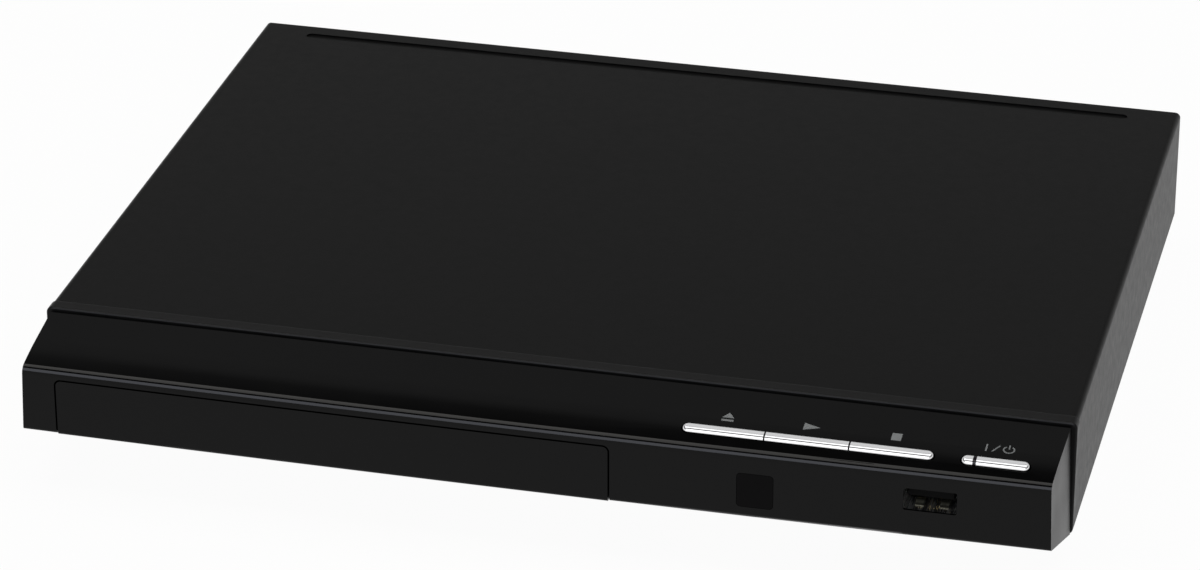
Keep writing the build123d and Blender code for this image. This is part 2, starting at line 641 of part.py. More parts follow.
# ================================================================ front board
front_board_y = (nose_y + 4.2, rim_y - 3.0)
tact_y = bar_y + button_drop * sin(bar_pitch)
with BuildPart() as front_board:
    block(front_board_x, front_board_y, (FRONT_BOARD_TOP - BOARD, FRONT_BOARD_TOP))
    for shelf_x in shelf_xs:
        rod(
            "Z", (shelf_x, rim_y - 12), 1.2, (FRONT_BOARD_TOP - 3, FRONT_BOARD_TOP + 1),
            mode=Mode.SUBTRACT)
finish(front_board, "front_board")

with BuildPart() as tact_switches:
    for switch_x in stem_places + [power_stem]:
        block(
            (switch_x - 3, switch_x + 3), (tact_y - 3, tact_y + 3),
            (FRONT_BOARD_TOP, FRONT_BOARD_TOP + 3.5))
        rod("Z", (switch_x, tact_y), 1.7, (FRONT_BOARD_TOP + 3, tact_top - 0.1))
finish(tact_switches, "tact_switches")

with BuildPart() as remote_receiver:
    block(
        (window_x - 3, window_x + 3), (nose_y + 4.6, nose_y + 9.2),
        (FRONT_BOARD_TOP, FRONT_BOARD_TOP + 6.8))
    with Locations((window_x, nose_y + 4.8, FRONT_BOARD_TOP + 3.6)):
        Sphere(1.9)
    block(
        (window_x - 4, window_x + 4), (nose_y, nose_y + 3.6), (FRONT_BOARD_TOP, HEIGHT),
        mode=Mode.SUBTRACT)
finish(remote_receiver, "remote_receiver")

usb_front = usb_back_y + 0.1
usb_half = USB_HOLE_W / 2 + USB_SHEET
usb_low = USB_Z - USB_HOLE_H / 2 - USB_SHEET
usb_high = USB_Z + USB_HOLE_H / 2 + USB_SHEET
with BuildPart() as usb_shell:
    block((usb_x - usb_half, usb_x + usb_half), (usb_front, usb_front + 14), (usb_low, usb_high))
    block(
        (usb_x - usb_half + USB_SHEET, usb_x + usb_half - USB_SHEET), (usb_front - 1, usb_front + 15),
        (usb_low + USB_SHEET, usb_high - USB_SHEET), mode=Mode.SUBTRACT)
    # solder legs
    for side in (-1, 1):
        block(
            sorted((usb_x + side * usb_half, usb_x + side * (usb_half - USB_SHEET))),
            (usb_front + 8, usb_front + 10), (FRONT_BOARD_TOP, usb_low + 0.2))
finish(usb_shell, "usb_shell")

with BuildPart() as usb_tongue:
    block(
        (usb_x - 6.6, usb_x + 6.6), (usb_front + 11.5, usb_front + 14), (usb_low + 0.35, usb_high - 0.35))
    block((usb_x - 5.6, usb_x + 5.6), (usb_front + 1.2, usb_front + 12), (USB_Z + 0.2, USB_Z + 2.0))
finish(usb_tongue, "usb_tongue")

with BuildPart() as front_flat_cable:
    block(cable_x, (rim_y - 9, rim_y - 9 + CABLE), (cable_z[0], FRONT_BOARD_TOP - BOARD))
    block(cable_x, (rim_y - 9, rim_y + 9), cable_z)
    block(cable_x, (rim_y + 9 - CABLE, rim_y + 9), (chassis_top, cable_z[1]))
    block(cable_x, (rim_y + 9 - CABLE, main_board_y[0] + 8), (chassis_top, chassis_top + CABLE))
    block(cable_x, (main_board_y[0] + 8 - CABLE, main_board_y[0] + 8), (chassis_top, BOARD_Z))
finish(front_flat_cable, "front_flat_cable")

# ================================================================ main board and power board
with BuildPart() as main_board:
    block(main_board_x, main_board_y, (BOARD_Z, BOARD_Z + BOARD))
    for bolt in main_bolts:
        rod("Z", bolt, 1.5, (BOARD_Z - 1, BOARD_Z + BOARD + 1), mode=Mode.SUBTRACT)
finish(main_board, "main_board")

board_top = BOARD_Z + BOARD
chip_x = main_mid + 26
chip_y = main_board_y[0] + 12
with BuildPart() as board_chips:
    block((chip_x - 7, chip_x + 7), (chip_y - 7, chip_y + 7), (board_top, board_top + 1.6))
    block((chip_x + 13, chip_x + 31), (chip_y - 5, chip_y + 5), (board_top, board_top + 1.2))
    block((chip_x - 29, chip_x - 19), (chip_y - 3, chip_y + 3), (board_top, board_top + 1.5))
    block(
        (main_board_x[0] + 12, main_board_x[0] + 28), (chip_y - 5, chip_y + 3),
        (board_top, board_top + 4.5))
finish(board_chips, "board_chips")

with BuildPart() as chip_heatsink:
    block((chip_x - 9, chip_x + 9), (chip_y - 9, chip_y + 9), (board_top + 1.6, board_top + 3.2))
    for fin in range(5):
        fin_x = chip_x - 9 + 4.25 * fin
        block((fin_x, fin_x + 1), (chip_y - 9, chip_y + 9), (board_top + 3.1, board_top + 9))
finish(chip_heatsink, "chip_heatsink")

with BuildPart() as power_board:
    block(power_board_x, power_board_y, (BOARD_Z, board_top))
    for bolt in power_bolts:
        rod("Z", bolt, 1.5, (BOARD_Z - 1, board_top + 1), mode=Mode.SUBTRACT)
finish(power_board, "power_board")

core_x = power_mid - 3
core_y = power_board_y[1] - 59.5
with BuildPart() as power_transformer:
    block((core_x - 12, core_x + 12), (core_y - 13, core_y - 8.5), (board_top + 2, board_top + 20))
    block((core_x - 12, core_x + 12), (core_y + 8.5, core_y + 13), (board_top + 2, board_top + 20))
    block((core_x - 6, core_x + 6), (core_y - 9, core_y + 9), (board_top + 6, board_top + 16))
    block((core_x - 10, core_x + 10), (core_y - 8.2, core_y + 8.2), (board_top + 3, board_top + 19))
    block((core_x - 11, core_x + 11), (core_y - 11, core_y + 11), (board_top, board_top + 3.1))
finish(power_transformer, "power_transformer")

capacitor_spots = [
    (core_x - 2, core_y + 27, 8.0, 22.0),
    (core_x - 12, core_y - 24, 5.0, 14.0),
    (core_x, core_y - 24, 5.0, 14.0),
    (core_x + 12, core_y - 24, 4.0, 12.0),
    (core_x - 12, core_y - 38, 4.0, 12.0),
    (chip_x - 65, chip_y - 4, 2.5, 7.0),
    (chip_x - 53, chip_y - 4, 2.5, 7.0),
    (chip_x + 41, chip_y - 2, 3.0, 8.0),
]
with BuildPart() as capacitors:
    for cap_x, cap_y, cap_r, cap_h in capacitor_spots:
        rod("Z", (cap_x, cap_y), cap_r, (board_top, board_top + cap_h))
    rims = capacitors.edges().filter_by(GeomType.CIRCLE)
    fillet(rims.filter_by(lambda e: e.center().Z > board_top + 1), 0.5)
finish(capacitors, "capacitors")

with BuildPart() as board_screws:
    for bolt in main_bolts + power_bolts:
        rod("Z", bolt, 2.4, (board_top, board_top + 1.5))
        rod("Z", bolt, 1.05, (BOARD_Z - 3.5, board_top + 0.1))
    for shelf_x in shelf_xs:
        rod("Z", (shelf_x, rim_y - 12), 2.0, (FRONT_BOARD_TOP, FRONT_BOARD_TOP + 1.3))
        rod("Z", (shelf_x, rim_y - 12), 1.05, (FRONT_BOARD_TOP - 4, FRONT_BOARD_TOP + 0.1))
finish(board_screws, "board_screws")

# ================================================================ loader frame
drive_at = (loader_x + RACK_LINE - MODULE * DRIVE_UPPER / 2, rim_y + DRIVE_BACK)
pulley_at = (drive_at[0], drive_at[1] + MODULE * (DRIVE_LOWER + PINION) / 2)
motor_at = (drive_at[0], pulley_at[1] + MOTOR_SPAN)
opening_half = TRAVERSE_HALF + 2.5
opening_y = (disc_y - TRAVERSE_FRONT - 3.2, disc_y + HINGE_BACK + 6)
hinge_y = disc_y + HINGE_BACK
inner = LOADER_HALF - LOADER_WALL
with BuildPart() as loader_frame:
    block(
        (loader_x - LOADER_HALF, loader_x + LOADER_HALF), (rim_y + 2.4, loader_rear),
        (LOADER_BASE, base_top))
    block(
        (loader_x - opening_half, loader_x + opening_half), opening_y,
        (LOADER_BASE - 1, base_top + 1), mode=Mode.SUBTRACT)
    for side in (-1, 1):
        outer_x = loader_x + side * LOADER_HALF
        wall_x = sorted((outer_x, outer_x - side * LOADER_WALL))
        block(wall_x, (rim_y + 2.4, loader_rear), (LOADER_BASE, LOADER_TOP))
        block(wall_x, (rim_y - ARM_REACH, rim_y + 3), (TRAY_SKIRT - GAP - 1.4, LOADER_TOP))
        # lower runner and upper guide lip
        block(
            sorted((outer_x, loader_x + side * (TRAY_HALF - 2.5))), (rim_y - ARM_REACH, loader_rear - 3),
            (TRAY_SKIRT - GAP - 1.4, TRAY_SKIRT - GAP))
        block(
            sorted((outer_x, loader_x + side * (TRAY_HALF - 1.0))), (rim_y - ARM_REACH, loader_rear - 3),
            (TRAY_TOP + 0.4, TRAY_TOP + 2.0))
        # hinge ears of the traverse
        ear_x = sorted(loader_x + side * (TRAVERSE_HALF + ear) for ear in (2.7, 5.2))
        block(ear_x, (hinge_y - 4, hinge_y + 4), (base_top - 0.1, HINGE_Z + 4))
        rod("X", (hinge_y, HINGE_Z), HINGE_R + RUN, (ear_x[0] - 1, ear_x[1] + 1), mode=Mode.SUBTRACT)
    block((loader_x - LOADER_HALF, loader_x + LOADER_HALF), (loader_rear - 2, loader_rear), (LOADER_BASE, 24))
    # gear posts and motor collar
    rod("Z", drive_at, POST_R, (LOADER_BASE, RACK_TEETH_Z[1] + 0.3))
    rod("Z", drive_at, 2.6, (LOADER_BASE, 11.7))
    rod("Z", pulley_at, POST_R, (LOADER_BASE, 18.7))
    rod("Z", pulley_at, 2.6, (LOADER_BASE, 11.7))
    rod("Z", motor_at, MOTOR_R + 1.8, (LOADER_BASE, 14))
    rod("Z", motor_at, MOTOR_R + 0.1, (LOADER_BASE - 1, 16), mode=Mode.SUBTRACT)
    # rib that keeps the lift slider in line
    block((loader_x - 56, loader_x + 30), (opening_y[0] - 6.2, opening_y[0] - 4.6), (base_top - 0.1, 13))
    for bolt in loader_bolts:
        rod("Z", bolt, 1.6, (LOADER_BASE - 1, base_top + 1), mode=Mode.SUBTRACT)
finish(loader_frame, "loader_frame")

with BuildPart() as loader_screws:
    for bolt in loader_bolts:
        rod("Z", bolt, 3.0, (base_top, base_top + 1.8))
        rod("Z", bolt, 1.25, (CHASSIS_Z + 0.3, base_top + 0.1))
finish(loader_screws, "loader_screws")

with BuildPart() as clamp_bridge:
    block(
        (loader_x - LOADER_HALF + 0.3, loader_x + LOADER_HALF - 0.3),
        (disc_y - BRIDGE_LENGTH / 2, disc_y + BRIDGE_LENGTH / 2), (LOADER_TOP, LOADER_TOP + BRIDGE_SHEET))
    rod("Z", (loader_x, disc_y), CLAMP_HOLE_R, (LOADER_TOP - 1, LOADER_TOP + 3), mode=Mode.SUBTRACT)
    # stiffening ribs
    for side in (-1, 1):
        rib_y = disc_y + side * (BRIDGE_LENGTH / 2 - 1.2)
        block((loader_x - 60, loader_x + 60), (rib_y - 1, rib_y + 1), (LOADER_TOP + 1, LOADER_TOP + 3.4))
finish(clamp_bridge, "clamp_bridge")

with BuildPart() as loading_motor:
    rod("Z", motor_at, MOTOR_R, (chassis_top + 0.4, 15.6))
    fillet(loading_motor.edges(), 0.8)
    rod("Z", motor_at, 0.8, (15, 18.8))
finish(loading_motor, "loading_motor")

belt_z = (16.7, 17.9)
with BuildPart() as drive_belt:
    with BuildSketch(Plane.XY.offset(belt_z[0])) as belt_outline:
        with BuildLine():
            big = BELT_LINE + BELT / 2
            small = MOTOR_BELT_LINE + BELT / 2
            lean = asin((big - small) / MOTOR_SPAN)
            big_right = (pulley_at[0] + big * cos(lean), pulley_at[1] + big * sin(lean))
            big_left = (pulley_at[0] - big * cos(lean), pulley_at[1] + big * sin(lean))
            small_right = (motor_at[0] + small * cos(lean), motor_at[1] + small * sin(lean))
            small_left = (motor_at[0] - small * cos(lean), motor_at[1] + small * sin(lean))
            Line(big_right, small_right)
            ThreePointArc(small_right, (motor_at[0], motor_at[1] + small), small_left)
            Line(small_left, big_left)
            ThreePointArc(big_left, (pulley_at[0], pulley_at[1] - big), big_right)
        make_face()
        offset(amount=-BELT, mode=Mode.SUBTRACT)
    extrude(belt_outline.sketch, amount=belt_z[1] - belt_z[0])
finish(drive_belt, "drive_belt")


def toothed_wheel(centre, teeth, z, start):
    """A spur wheel with slim teeth that leave backlash on both sides."""
    pitch_r = MODULE * teeth / 2
    with BuildSketch(Plane.XY.offset(z[0])) as outline:
        with Locations(centre):
            Circle(pitch_r - ROOT)
        with Locations(centre):
            with PolarLocations(pitch_r - ROOT + (TIP + ROOT) / 2 - 0.1, teeth, start_angle=start):
                Trapezoid(TOOTH, TIP + ROOT + 0.2, 78, rotation=-90)
    extrude(outline.sketch, amount=z[1] - z[0])


with BuildPart() as drive_gear:
    toothed_wheel(drive_at, DRIVE_LOWER, (12.0, 15.0), 0)
    rod("Z", drive_at, 3.5, (14.9, 19.1))
    toothed_wheel(drive_at, DRIVE_UPPER, RACK_TEETH_Z, 0)
    rod("Z", drive_at, POST_R + RUN, (10, 24), mode=Mode.SUBTRACT)
finish(drive_gear, "drive_gear")

with BuildPart() as pulley_gear:
    toothed_wheel(pulley_at, PINION, (12.0, 15.4), -90 + 180 / PINION)
    rod("Z", pulley_at, 3.2, (15.2, 16.3))
    rod("Z", pulley_at, PULLEY_R, (16.2, 18.4))
    with BuildSketch(Plane.XY.offset(belt_z[0] - 0.1)) as pulley_groove:
        with Locations(pulley_at):
            Circle(PULLEY_R + 1)
            Circle(BELT_LINE - BELT / 2 - 0.1, mode=Mode.SUBTRACT)
    extrude(pulley_groove.sketch, amount=BELT + 0.2, mode=Mode.SUBTRACT)
    rod("Z", pulley_at, POST_R + RUN, (10, 24), mode=Mode.SUBTRACT)
finish(pulley_gear, "pulley_gear")

with BuildPart() as motor_pulley:
    rod("Z", motor_at, 3.4, (16.2, 18.4))
    with BuildSketch(Plane.XY.offset(belt_z[0] - 0.1)) as motor_groove:
        with Locations(motor_at):
            Circle(5)
            Circle(MOTOR_BELT_LINE - BELT / 2 - 0.1, mode=Mode.SUBTRACT)
    extrude(motor_groove.sketch, amount=BELT + 0.2, mode=Mode.SUBTRACT)
    rod("Z", motor_at, 0.8 + RUN, (15, 20), mode=Mode.SUBTRACT)
finish(motor_pulley, "motor_pulley")

# ================================================================ tray and its door
rack_pitch = pi * MODULE
rack_count = int((tray_rear - drive_at[1] - TOOTH) / rack_pitch)
with BuildPart() as disc_tray:
    block(
        (loader_x - TRAY_HALF, loader_x + TRAY_HALF), (tray_front, tray_rear),
        (TRAY_TOP - TRAY_SHEET, TRAY_TOP))
    for side in (-1, 1):
        skirt_x = sorted((loader_x + side * TRAY_HALF, loader_x + side * (TRAY_HALF - 2)))
        block(skirt_x, (tray_front, tray_rear), (TRAY_SKIRT, TRAY_TOP))
    block((loader_x - TRAY_HALF, loader_x + TRAY_HALF), (tray_front, tray_front + 2), (TRAY_SKIRT, TRAY_TOP))
    rod("Z", (loader_x, disc_y), RECESS_R + TRAY_SHEET, (RECESS_FLOOR - TRAY_SHEET, TRAY_TOP))
    rod("Z", (loader_x, disc_y), SMALL_RECESS_R + TRAY_SHEET, (SMALL_RECESS_FLOOR - TRAY_SHEET, TRAY_TOP))
    # rack under the right side
    rack_x = loader_x + RACK_LINE + ROOT
    block((rack_x, rack_x + 2), (tray_front + 4, tray_rear), (RACK_TEETH_Z[0], TRAY_TOP - 0.5))
    rod("Z", (loader_x, disc_y), RECESS_R, (RECESS_FLOOR, TRAY_TOP + 1), mode=Mode.SUBTRACT)
    rod("Z", (loader_x, disc_y), SMALL_RECESS_R, (SMALL_RECESS_FLOOR, TRAY_TOP + 1), mode=Mode.SUBTRACT)
    # finger notches and eased recess edges
    for side in (-1, 1):
        block(
            (loader_x - NOTCH_HALF, loader_x + NOTCH_HALF),
            sorted((disc_y + side * (RECESS_R - 6), disc_y + side * (RECESS_R + NOTCH_REACH))),
            (RECESS_FLOOR, TRAY_TOP + 1), mode=Mode.SUBTRACT)
    with BuildSketch(Plane.XY.offset(RACK_TEETH_Z[0])) as rack_teeth:
        for tooth in range(-2, rack_count):
            with Locations((rack_x - (ROOT + TIP) / 2 + 0.1, drive_at[1] + (tooth + 0.5) * rack_pitch)):
                Trapezoid(TOOTH, TIP + ROOT + 0.2, 78, rotation=90)
    extrude(rack_teeth.sketch, amount=RACK_TEETH_Z[1] - RACK_TEETH_Z[0])
    # slot for the turntable and the pickup, open to the rear
    rod("Z", (loader_x, disc_y), TRAY_SLOT / 2, (TRAY_SKIRT - 1, TRAY_TOP + 1), mode=Mode.SUBTRACT)
    block(
        (loader_x - TRAY_SLOT / 2, loader_x + TRAY_SLOT / 2), (disc_y, tray_rear + 1),
        (TRAY_SKIRT - 1, TRAY_TOP + 1), mode=Mode.SUBTRACT)
finish(disc_tray, "disc_tray")

with BuildPart() as tray_door:
    with BuildSketch(Plane.YZ) as door_profile:
        with BuildLine():
            Polyline(
                (nose_y, DOOR_BOTTOM), (nose_y + 8, DOOR_BOTTOM), (nose_y + 8, DOOR_TOP), (nose_y, DOOR_TOP),
                close=True)
        make_face()
        fillet(door_profile.vertices().group_by(Axis.X)[0].sort_by(Axis.Y)[0], LOWER_RADIUS)
    revolve(door_profile.sketch, axis=bow_axis, revolution_arc=bow_angle)
    mirror(about=Plane.YZ)
    block((door_left, door_right), (nose_y - 2, tray_front), (0, HEIGHT), mode=Mode.INTERSECT)
    door_corners = tray_door.edges().filter_by(Axis.Y).group_by(Axis.Z)[-1]
    fillet(door_corners, DOOR_CORNER)
finish(tray_door, "tray_door")

# ================================================================ lift slider and traverse
slider_y = (opening_y[0] - 3.9, opening_y[0] - 1.4)
slot_angle = degrees(atan2(-LIFT_DROP, LIFT_STROKE))
with BuildPart() as lift_slider:
    block((loader_x - 32, loader_x + 32), slider_y, (base_top + GAP, 21.6))
    with BuildSketch(Plane.XZ.offset(-slider_y[1] - 1)) as lift_slots:
        for pin_x in LIFT_PINS:
            middle = (loader_x + pin_x + LIFT_STROKE / 2, LIFT_PIN_Z - LIFT_DROP / 2)
            with Locations(Location((*middle, 0), (0, 0, slot_angle))):
                SlotCenterToCenter((LIFT_STROKE ** 2 + LIFT_DROP ** 2) ** 0.5, 2 * (LIFT_PIN_R + 0.35))
    extrude(lift_slots.sketch, amount=6, mode=Mode.SUBTRACT)
finish(lift_slider, "lift_slider")

traverse_front_y = disc_y - TRAVERSE_FRONT
traverse_rear_y = disc_y + TRAVERSE_REAR
lens_y = disc_y + LENS_START
window_y = (lens_y - SLED_AHEAD, lens_y + SLED_TRAVEL + SLED_BEHIND)
rod_span = (window_y[0] - 4, window_y[1] + 4)
motor_y = (disc_y - 14, disc_y + 4)
with BuildPart() as traverse_frame:
    block(
        (loader_x - TRAVERSE_HALF, loader_x + TRAVERSE_HALF), (traverse_front_y, traverse_rear_y + 6),
        TRAVERSE_Z)
    # side walls and raised front wall
    for side in (-1, 1):
        wall_x = sorted((loader_x + side * TRAVERSE_HALF, loader_x + side * (TRAVERSE_HALF - 1.6)))
        block(wall_x, (traverse_front_y, traverse_rear_y + 6), (12.4, TRAVERSE_Z[1]))
        rod(
            "X", (hinge_y, HINGE_Z), HINGE_R,
            sorted((loader_x + side * (TRAVERSE_HALF - 1), loader_x + side * (TRAVERSE_HALF + 5.0))))
    block(
        (loader_x - TRAVERSE_HALF, loader_x + TRAVERSE_HALF), (traverse_front_y, traverse_front_y + 1.8),
        (12.4, LIFT_PIN_Z + 2.4))
    for pin_x in LIFT_PINS:
        rod("Y", (loader_x + pin_x, LIFT_PIN_Z), LIFT_PIN_R, (slider_y[0] - 0.4, traverse_front_y + 1))
    # pickup window and motor notch
    block((loader_x - 21.5, loader_x + 31), window_y, (10, 20), mode=Mode.SUBTRACT)
    block(
        (loader_x + SCREW_X - 5.1, loader_x + SCREW_X + 5.1), (motor_y[0] - GAP, window_y[0] + 1), (10, 20),
        mode=Mode.SUBTRACT)
    # rod brackets
    for rod_x in SLED_RODS:
        for bracket_y in (rod_span[0], rod_span[1]):
            block(
                (loader_x + rod_x - 2.6, loader_x + rod_x + 2.6), (bracket_y - 2, bracket_y + 2),
                (TRAVERSE_Z[1] - 0.2, ROD_Z + 2.2))
    for rod_x in SLED_RODS:
        rod(
            "Y", (loader_x + rod_x, ROD_Z), ROD_R + 0.02, (rod_span[0] - 5, rod_span[1] + 5),
            mode=Mode.SUBTRACT)
    # screw bearing at the rear and motor shaft hole
    block(
        (loader_x + SCREW_X - 2.5, loader_x + SCREW_X + 2.5), (window_y[1], window_y[1] + 3),
        (SCREW_Z - 2.4, SCREW_Z + 2.4))
    rod(
        "Y", (loader_x + SCREW_X, SCREW_Z), SCREW_R + RUN, (window_y[1] - 1, window_y[1] + 2),
        mode=Mode.SUBTRACT)
    rod("Z", (loader_x, disc_y), 3.2, (10, 20), mode=Mode.SUBTRACT)
finish(traverse_frame, "traverse_frame")

with BuildPart() as spindle_motor:
    rod("Z", (loader_x, disc_y), SPINDLE_R, (TRAVERSE_Z[1], 22.4))
    fillet(spindle_motor.edges().group_by(Axis.Z)[-1], 1.2)
    rod("Z", (loader_x, disc_y), 3.0, (12.6, TRAVERSE_Z[1] + 1))
    rod("Z", (loader_x, disc_y), 1.0 + RUN, (13.6, 24), mode=Mode.SUBTRACT)
finish(spindle_motor, "spindle_motor")

with BuildPart() as turntable:
    rod("Z", (loader_x, disc_y), TABLE_R, (TABLE_TOP - 2.0, TABLE_TOP))
    rod("Z", (loader_x, disc_y), 7.4, (TABLE_TOP - 0.1, TABLE_TOP + 1.3))
    fillet(turntable.edges().group_by(Axis.Z)[-1], 0.9)
    rod("Z", (loader_x, disc_y), 9.0, (22.9, TABLE_TOP - 1.9))
    rod("Z", (loader_x, disc_y), 1.0, (14.0, 23.2))
finish(turntable, "turntable")

with BuildPart() as table_mat:
    with BuildSketch(Plane.XY.offset(TABLE_TOP)) as mat_ring:
        with Locations((loader_x, disc_y)):
            Circle(TABLE_R - 0.6)
            Circle(TABLE_R - 4.4, mode=Mode.SUBTRACT)
    extrude(mat_ring.sketch, amount=0.4)
finish(table_mat, "table_mat")

clamp_low = TABLE_TOP + 1.8
flange_low = LOADER_TOP + BRIDGE_SHEET + GAP
with BuildPart() as disc_clamper:
    rod("Z", (loader_x, disc_y), CLAMP_HOLE_R - 0.6, (clamp_low, flange_low + 0.1))
    rod("Z", (loader_x, disc_y), CLAMP_HOLE_R + 2.6, (flange_low, flange_low + 1.4))
    rod("Z", (loader_x, disc_y), 8.1, (clamp_low - 1, clamp_low + 1.2), mode=Mode.SUBTRACT)
    rod("Z", (loader_x, disc_y), 6.1, (clamp_low + 2.4, HEIGHT), mode=Mode.SUBTRACT)
finish(disc_clamper, "disc_clamper")

with BuildPart() as clamper_magnet:
    rod("Z", (loader_x, disc_y), 6.0, (clamp_low + 2.4, clamp_low + 4.4))
finish(clamper_magnet, "clamper_magnet")

with BuildPart() as guide_rods:
    for rod_x in SLED_RODS:
        rod("Y", (loader_x + rod_x, ROD_Z), ROD_R, (rod_span[0] - 2, rod_span[1] + 2))
finish(guide_rods, "guide_rods")

with BuildPart() as sled_motor:
    rod("Y", (loader_x + SCREW_X, SCREW_Z), 4.9, motor_y)
    fillet(sled_motor.edges(), 0.6)
    rod("Y", (loader_x + SCREW_X, SCREW_Z), 0.8, (motor_y[1] - 1, motor_y[1] + 3))
finish(sled_motor, "sled_motor")

with BuildPart() as lead_screw:
    rod("Y", (loader_x + SCREW_X, SCREW_Z), SCREW_R, (motor_y[1] + 0.4, window_y[1] + 2 - GAP))
    rod("Y", (loader_x + SCREW_X, SCREW_Z), 0.8 + RUN, (motor_y[1] - 1, motor_y[1] + 3.2), mode=Mode.SUBTRACT)
finish(lead_screw, "lead_screw")

# ================================================================ pickup
sled_y = (lens_y - 9.4, lens_y + 18)
with BuildPart() as pickup_sled:
    block((loader_x - 20, loader_x + 15), sled_y, (15.2, 20.6))
    block((loader_x - 29, loader_x - 19), (lens_y - 6, lens_y + 16), (ROD_Z - 1.7, 21.0))
    block((loader_x + 14, loader_x + 24), (lens_y - 2, lens_y + 10), (ROD_Z - 1.7, 21.0))
    block((loader_x + 23, loader_x + SCREW_X - SCREW_R - GAP), (lens_y + 2, lens_y + 8), (15.2, 20.9))
    for rod_x in SLED_RODS:
        rod("Y", (loader_x + rod_x, ROD_Z), ROD_R + RUN, (lens_y - 30, lens_y + 30), mode=Mode.SUBTRACT)
    block((loader_x - 9, loader_x + 9), (lens_y - 7, lens_y + 7), (19.4, 22), mode=Mode.SUBTRACT)
    # yokes of the lens actuator
    for side in (-1, 1):
        block((loader_x - 5, loader_x + 5), sorted((lens_y + side * 5.6, lens_y + side * 7)), (19.3, 23.4))
finish(pickup_sled, "pickup_sled")

with BuildPart() as lens_holder:
    block((loader_x - 6.5, loader_x + 6.5), (lens_y - 4.8, lens_y + 4.8), (20.2, 23.8))
    rod("Z", (loader_x, lens_y), 3.4, (23.6, 25.2))
    rod("Z", (loader_x, lens_y), 2.5, (19, 26), mode=Mode.SUBTRACT)
finish(lens_holder, "lens_holder")

with BuildPart() as pickup_lens:
    rod("Z", (loader_x, lens_y), 2.5, (22.6, 24.4))
    with Locations((loader_x, lens_y, 24.4 - 4.6)):
        Sphere(5.2)
    rod("Z", (loader_x, lens_y), 2.5, (22.6, 26), mode=Mode.INTERSECT)
finish(pickup_lens, "pickup_lens")
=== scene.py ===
import json
from math import cos, pi, radians, sin, sqrt, tan

import bmesh
import bpy
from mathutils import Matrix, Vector


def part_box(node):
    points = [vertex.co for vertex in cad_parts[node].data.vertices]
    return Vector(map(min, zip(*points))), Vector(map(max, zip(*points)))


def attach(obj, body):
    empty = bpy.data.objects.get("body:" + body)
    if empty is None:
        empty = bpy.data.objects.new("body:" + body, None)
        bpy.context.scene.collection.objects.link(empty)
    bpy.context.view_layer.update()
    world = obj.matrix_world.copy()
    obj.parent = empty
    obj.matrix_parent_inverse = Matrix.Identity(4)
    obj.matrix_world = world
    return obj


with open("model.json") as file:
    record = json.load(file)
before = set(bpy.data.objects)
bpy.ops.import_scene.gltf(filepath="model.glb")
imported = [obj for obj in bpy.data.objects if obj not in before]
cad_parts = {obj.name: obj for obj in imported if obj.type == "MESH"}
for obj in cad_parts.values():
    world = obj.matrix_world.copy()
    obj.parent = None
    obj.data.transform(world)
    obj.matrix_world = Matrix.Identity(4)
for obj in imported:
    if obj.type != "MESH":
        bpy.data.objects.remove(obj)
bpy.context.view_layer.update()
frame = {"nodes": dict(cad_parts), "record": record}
nodes = frame["nodes"]

MM = 0.001

# ---------------------------------------------------------------- the photograph's view
CAMERA_PLACE = (0.27285, -1.14255, 0.60686)
CAMERA_TILT = radians(63.428)
CAMERA_TURN = radians(13.803)
CAMERA_LENS = 145.573
SENSOR_WIDTH = 36.0

# ---------------------------------------------------------------- studio
FLOOR_HALF = 40.0
FLOOR_GREY = (0.86, 0.86, 0.86, 1.0)
FLOOR_GLOW = 0.96           # share of plain white in what the camera and mirrors see of the floor
WHITE = (1.0, 1.0, 1.0, 1.0)

# how bright the studio is at some heights above the horizon, as the sine of the elevation
SKY_LEVELS = (
    (0.0, 1.0), (0.2, 0.9), (0.36, 0.2), (0.46, 0.08),
    (0.58, 0.3), (0.68, 0.34), (0.8, 0.05), (0.9, 0.015))

LAMP_WIDTH = 3.4
NEUTRAL = (1.0, 1.0, 1.0)
WARM = (1.0, 0.985, 0.955)
COOL = (0.87, 0.9, 1.0)
CHROME_NODES = ("eject_button", "play_button", "stop_button", "power_button")

# ---------------------------------------------------------------- places read from the frame
fascia_low, fascia_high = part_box("front_fascia")
play_low, play_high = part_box("play_button")
power_low, power_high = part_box("power_button")
stop_low, stop_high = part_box("stop_button")
eject_low, eject_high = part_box("eject_button")
usb_low, usb_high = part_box("usb_shell")
av_low, av_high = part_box("av_jacks")
coax_low, coax_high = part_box("coax_jack")
_, panel_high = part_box("rear_panel")
_, tongue_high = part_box("usb_tongue")

# the front panel's top: straight behind the crown, then curving down to the nose
SLOPE_PITCH = radians(6.8)
NOSE_PITCH = radians(14.0)
CROWN_DEPTH = 12.0 * MM
BOW_RADIUS = 9.1125         # of the panel's bow across its width, in metres


# ================================================================ camera, floor and lights
def make_camera():
    """The camera that took the photograph, worked out from the object's edges."""
    bpy.context.scene.view_settings.view_transform = "Standard"
    data = bpy.data.cameras.new("photo_camera")
    data.lens = CAMERA_LENS
    data.sensor_width = SENSOR_WIDTH
    data.sensor_fit = "HORIZONTAL"
    data.clip_end = 100.0
    camera = bpy.data.objects.new("photo_camera", data)
    bpy.context.scene.collection.objects.link(camera)
    camera.location = CAMERA_PLACE
    camera.rotation_euler = (CAMERA_TILT, 0.0, CAMERA_TURN)
    bpy.context.scene.camera = camera


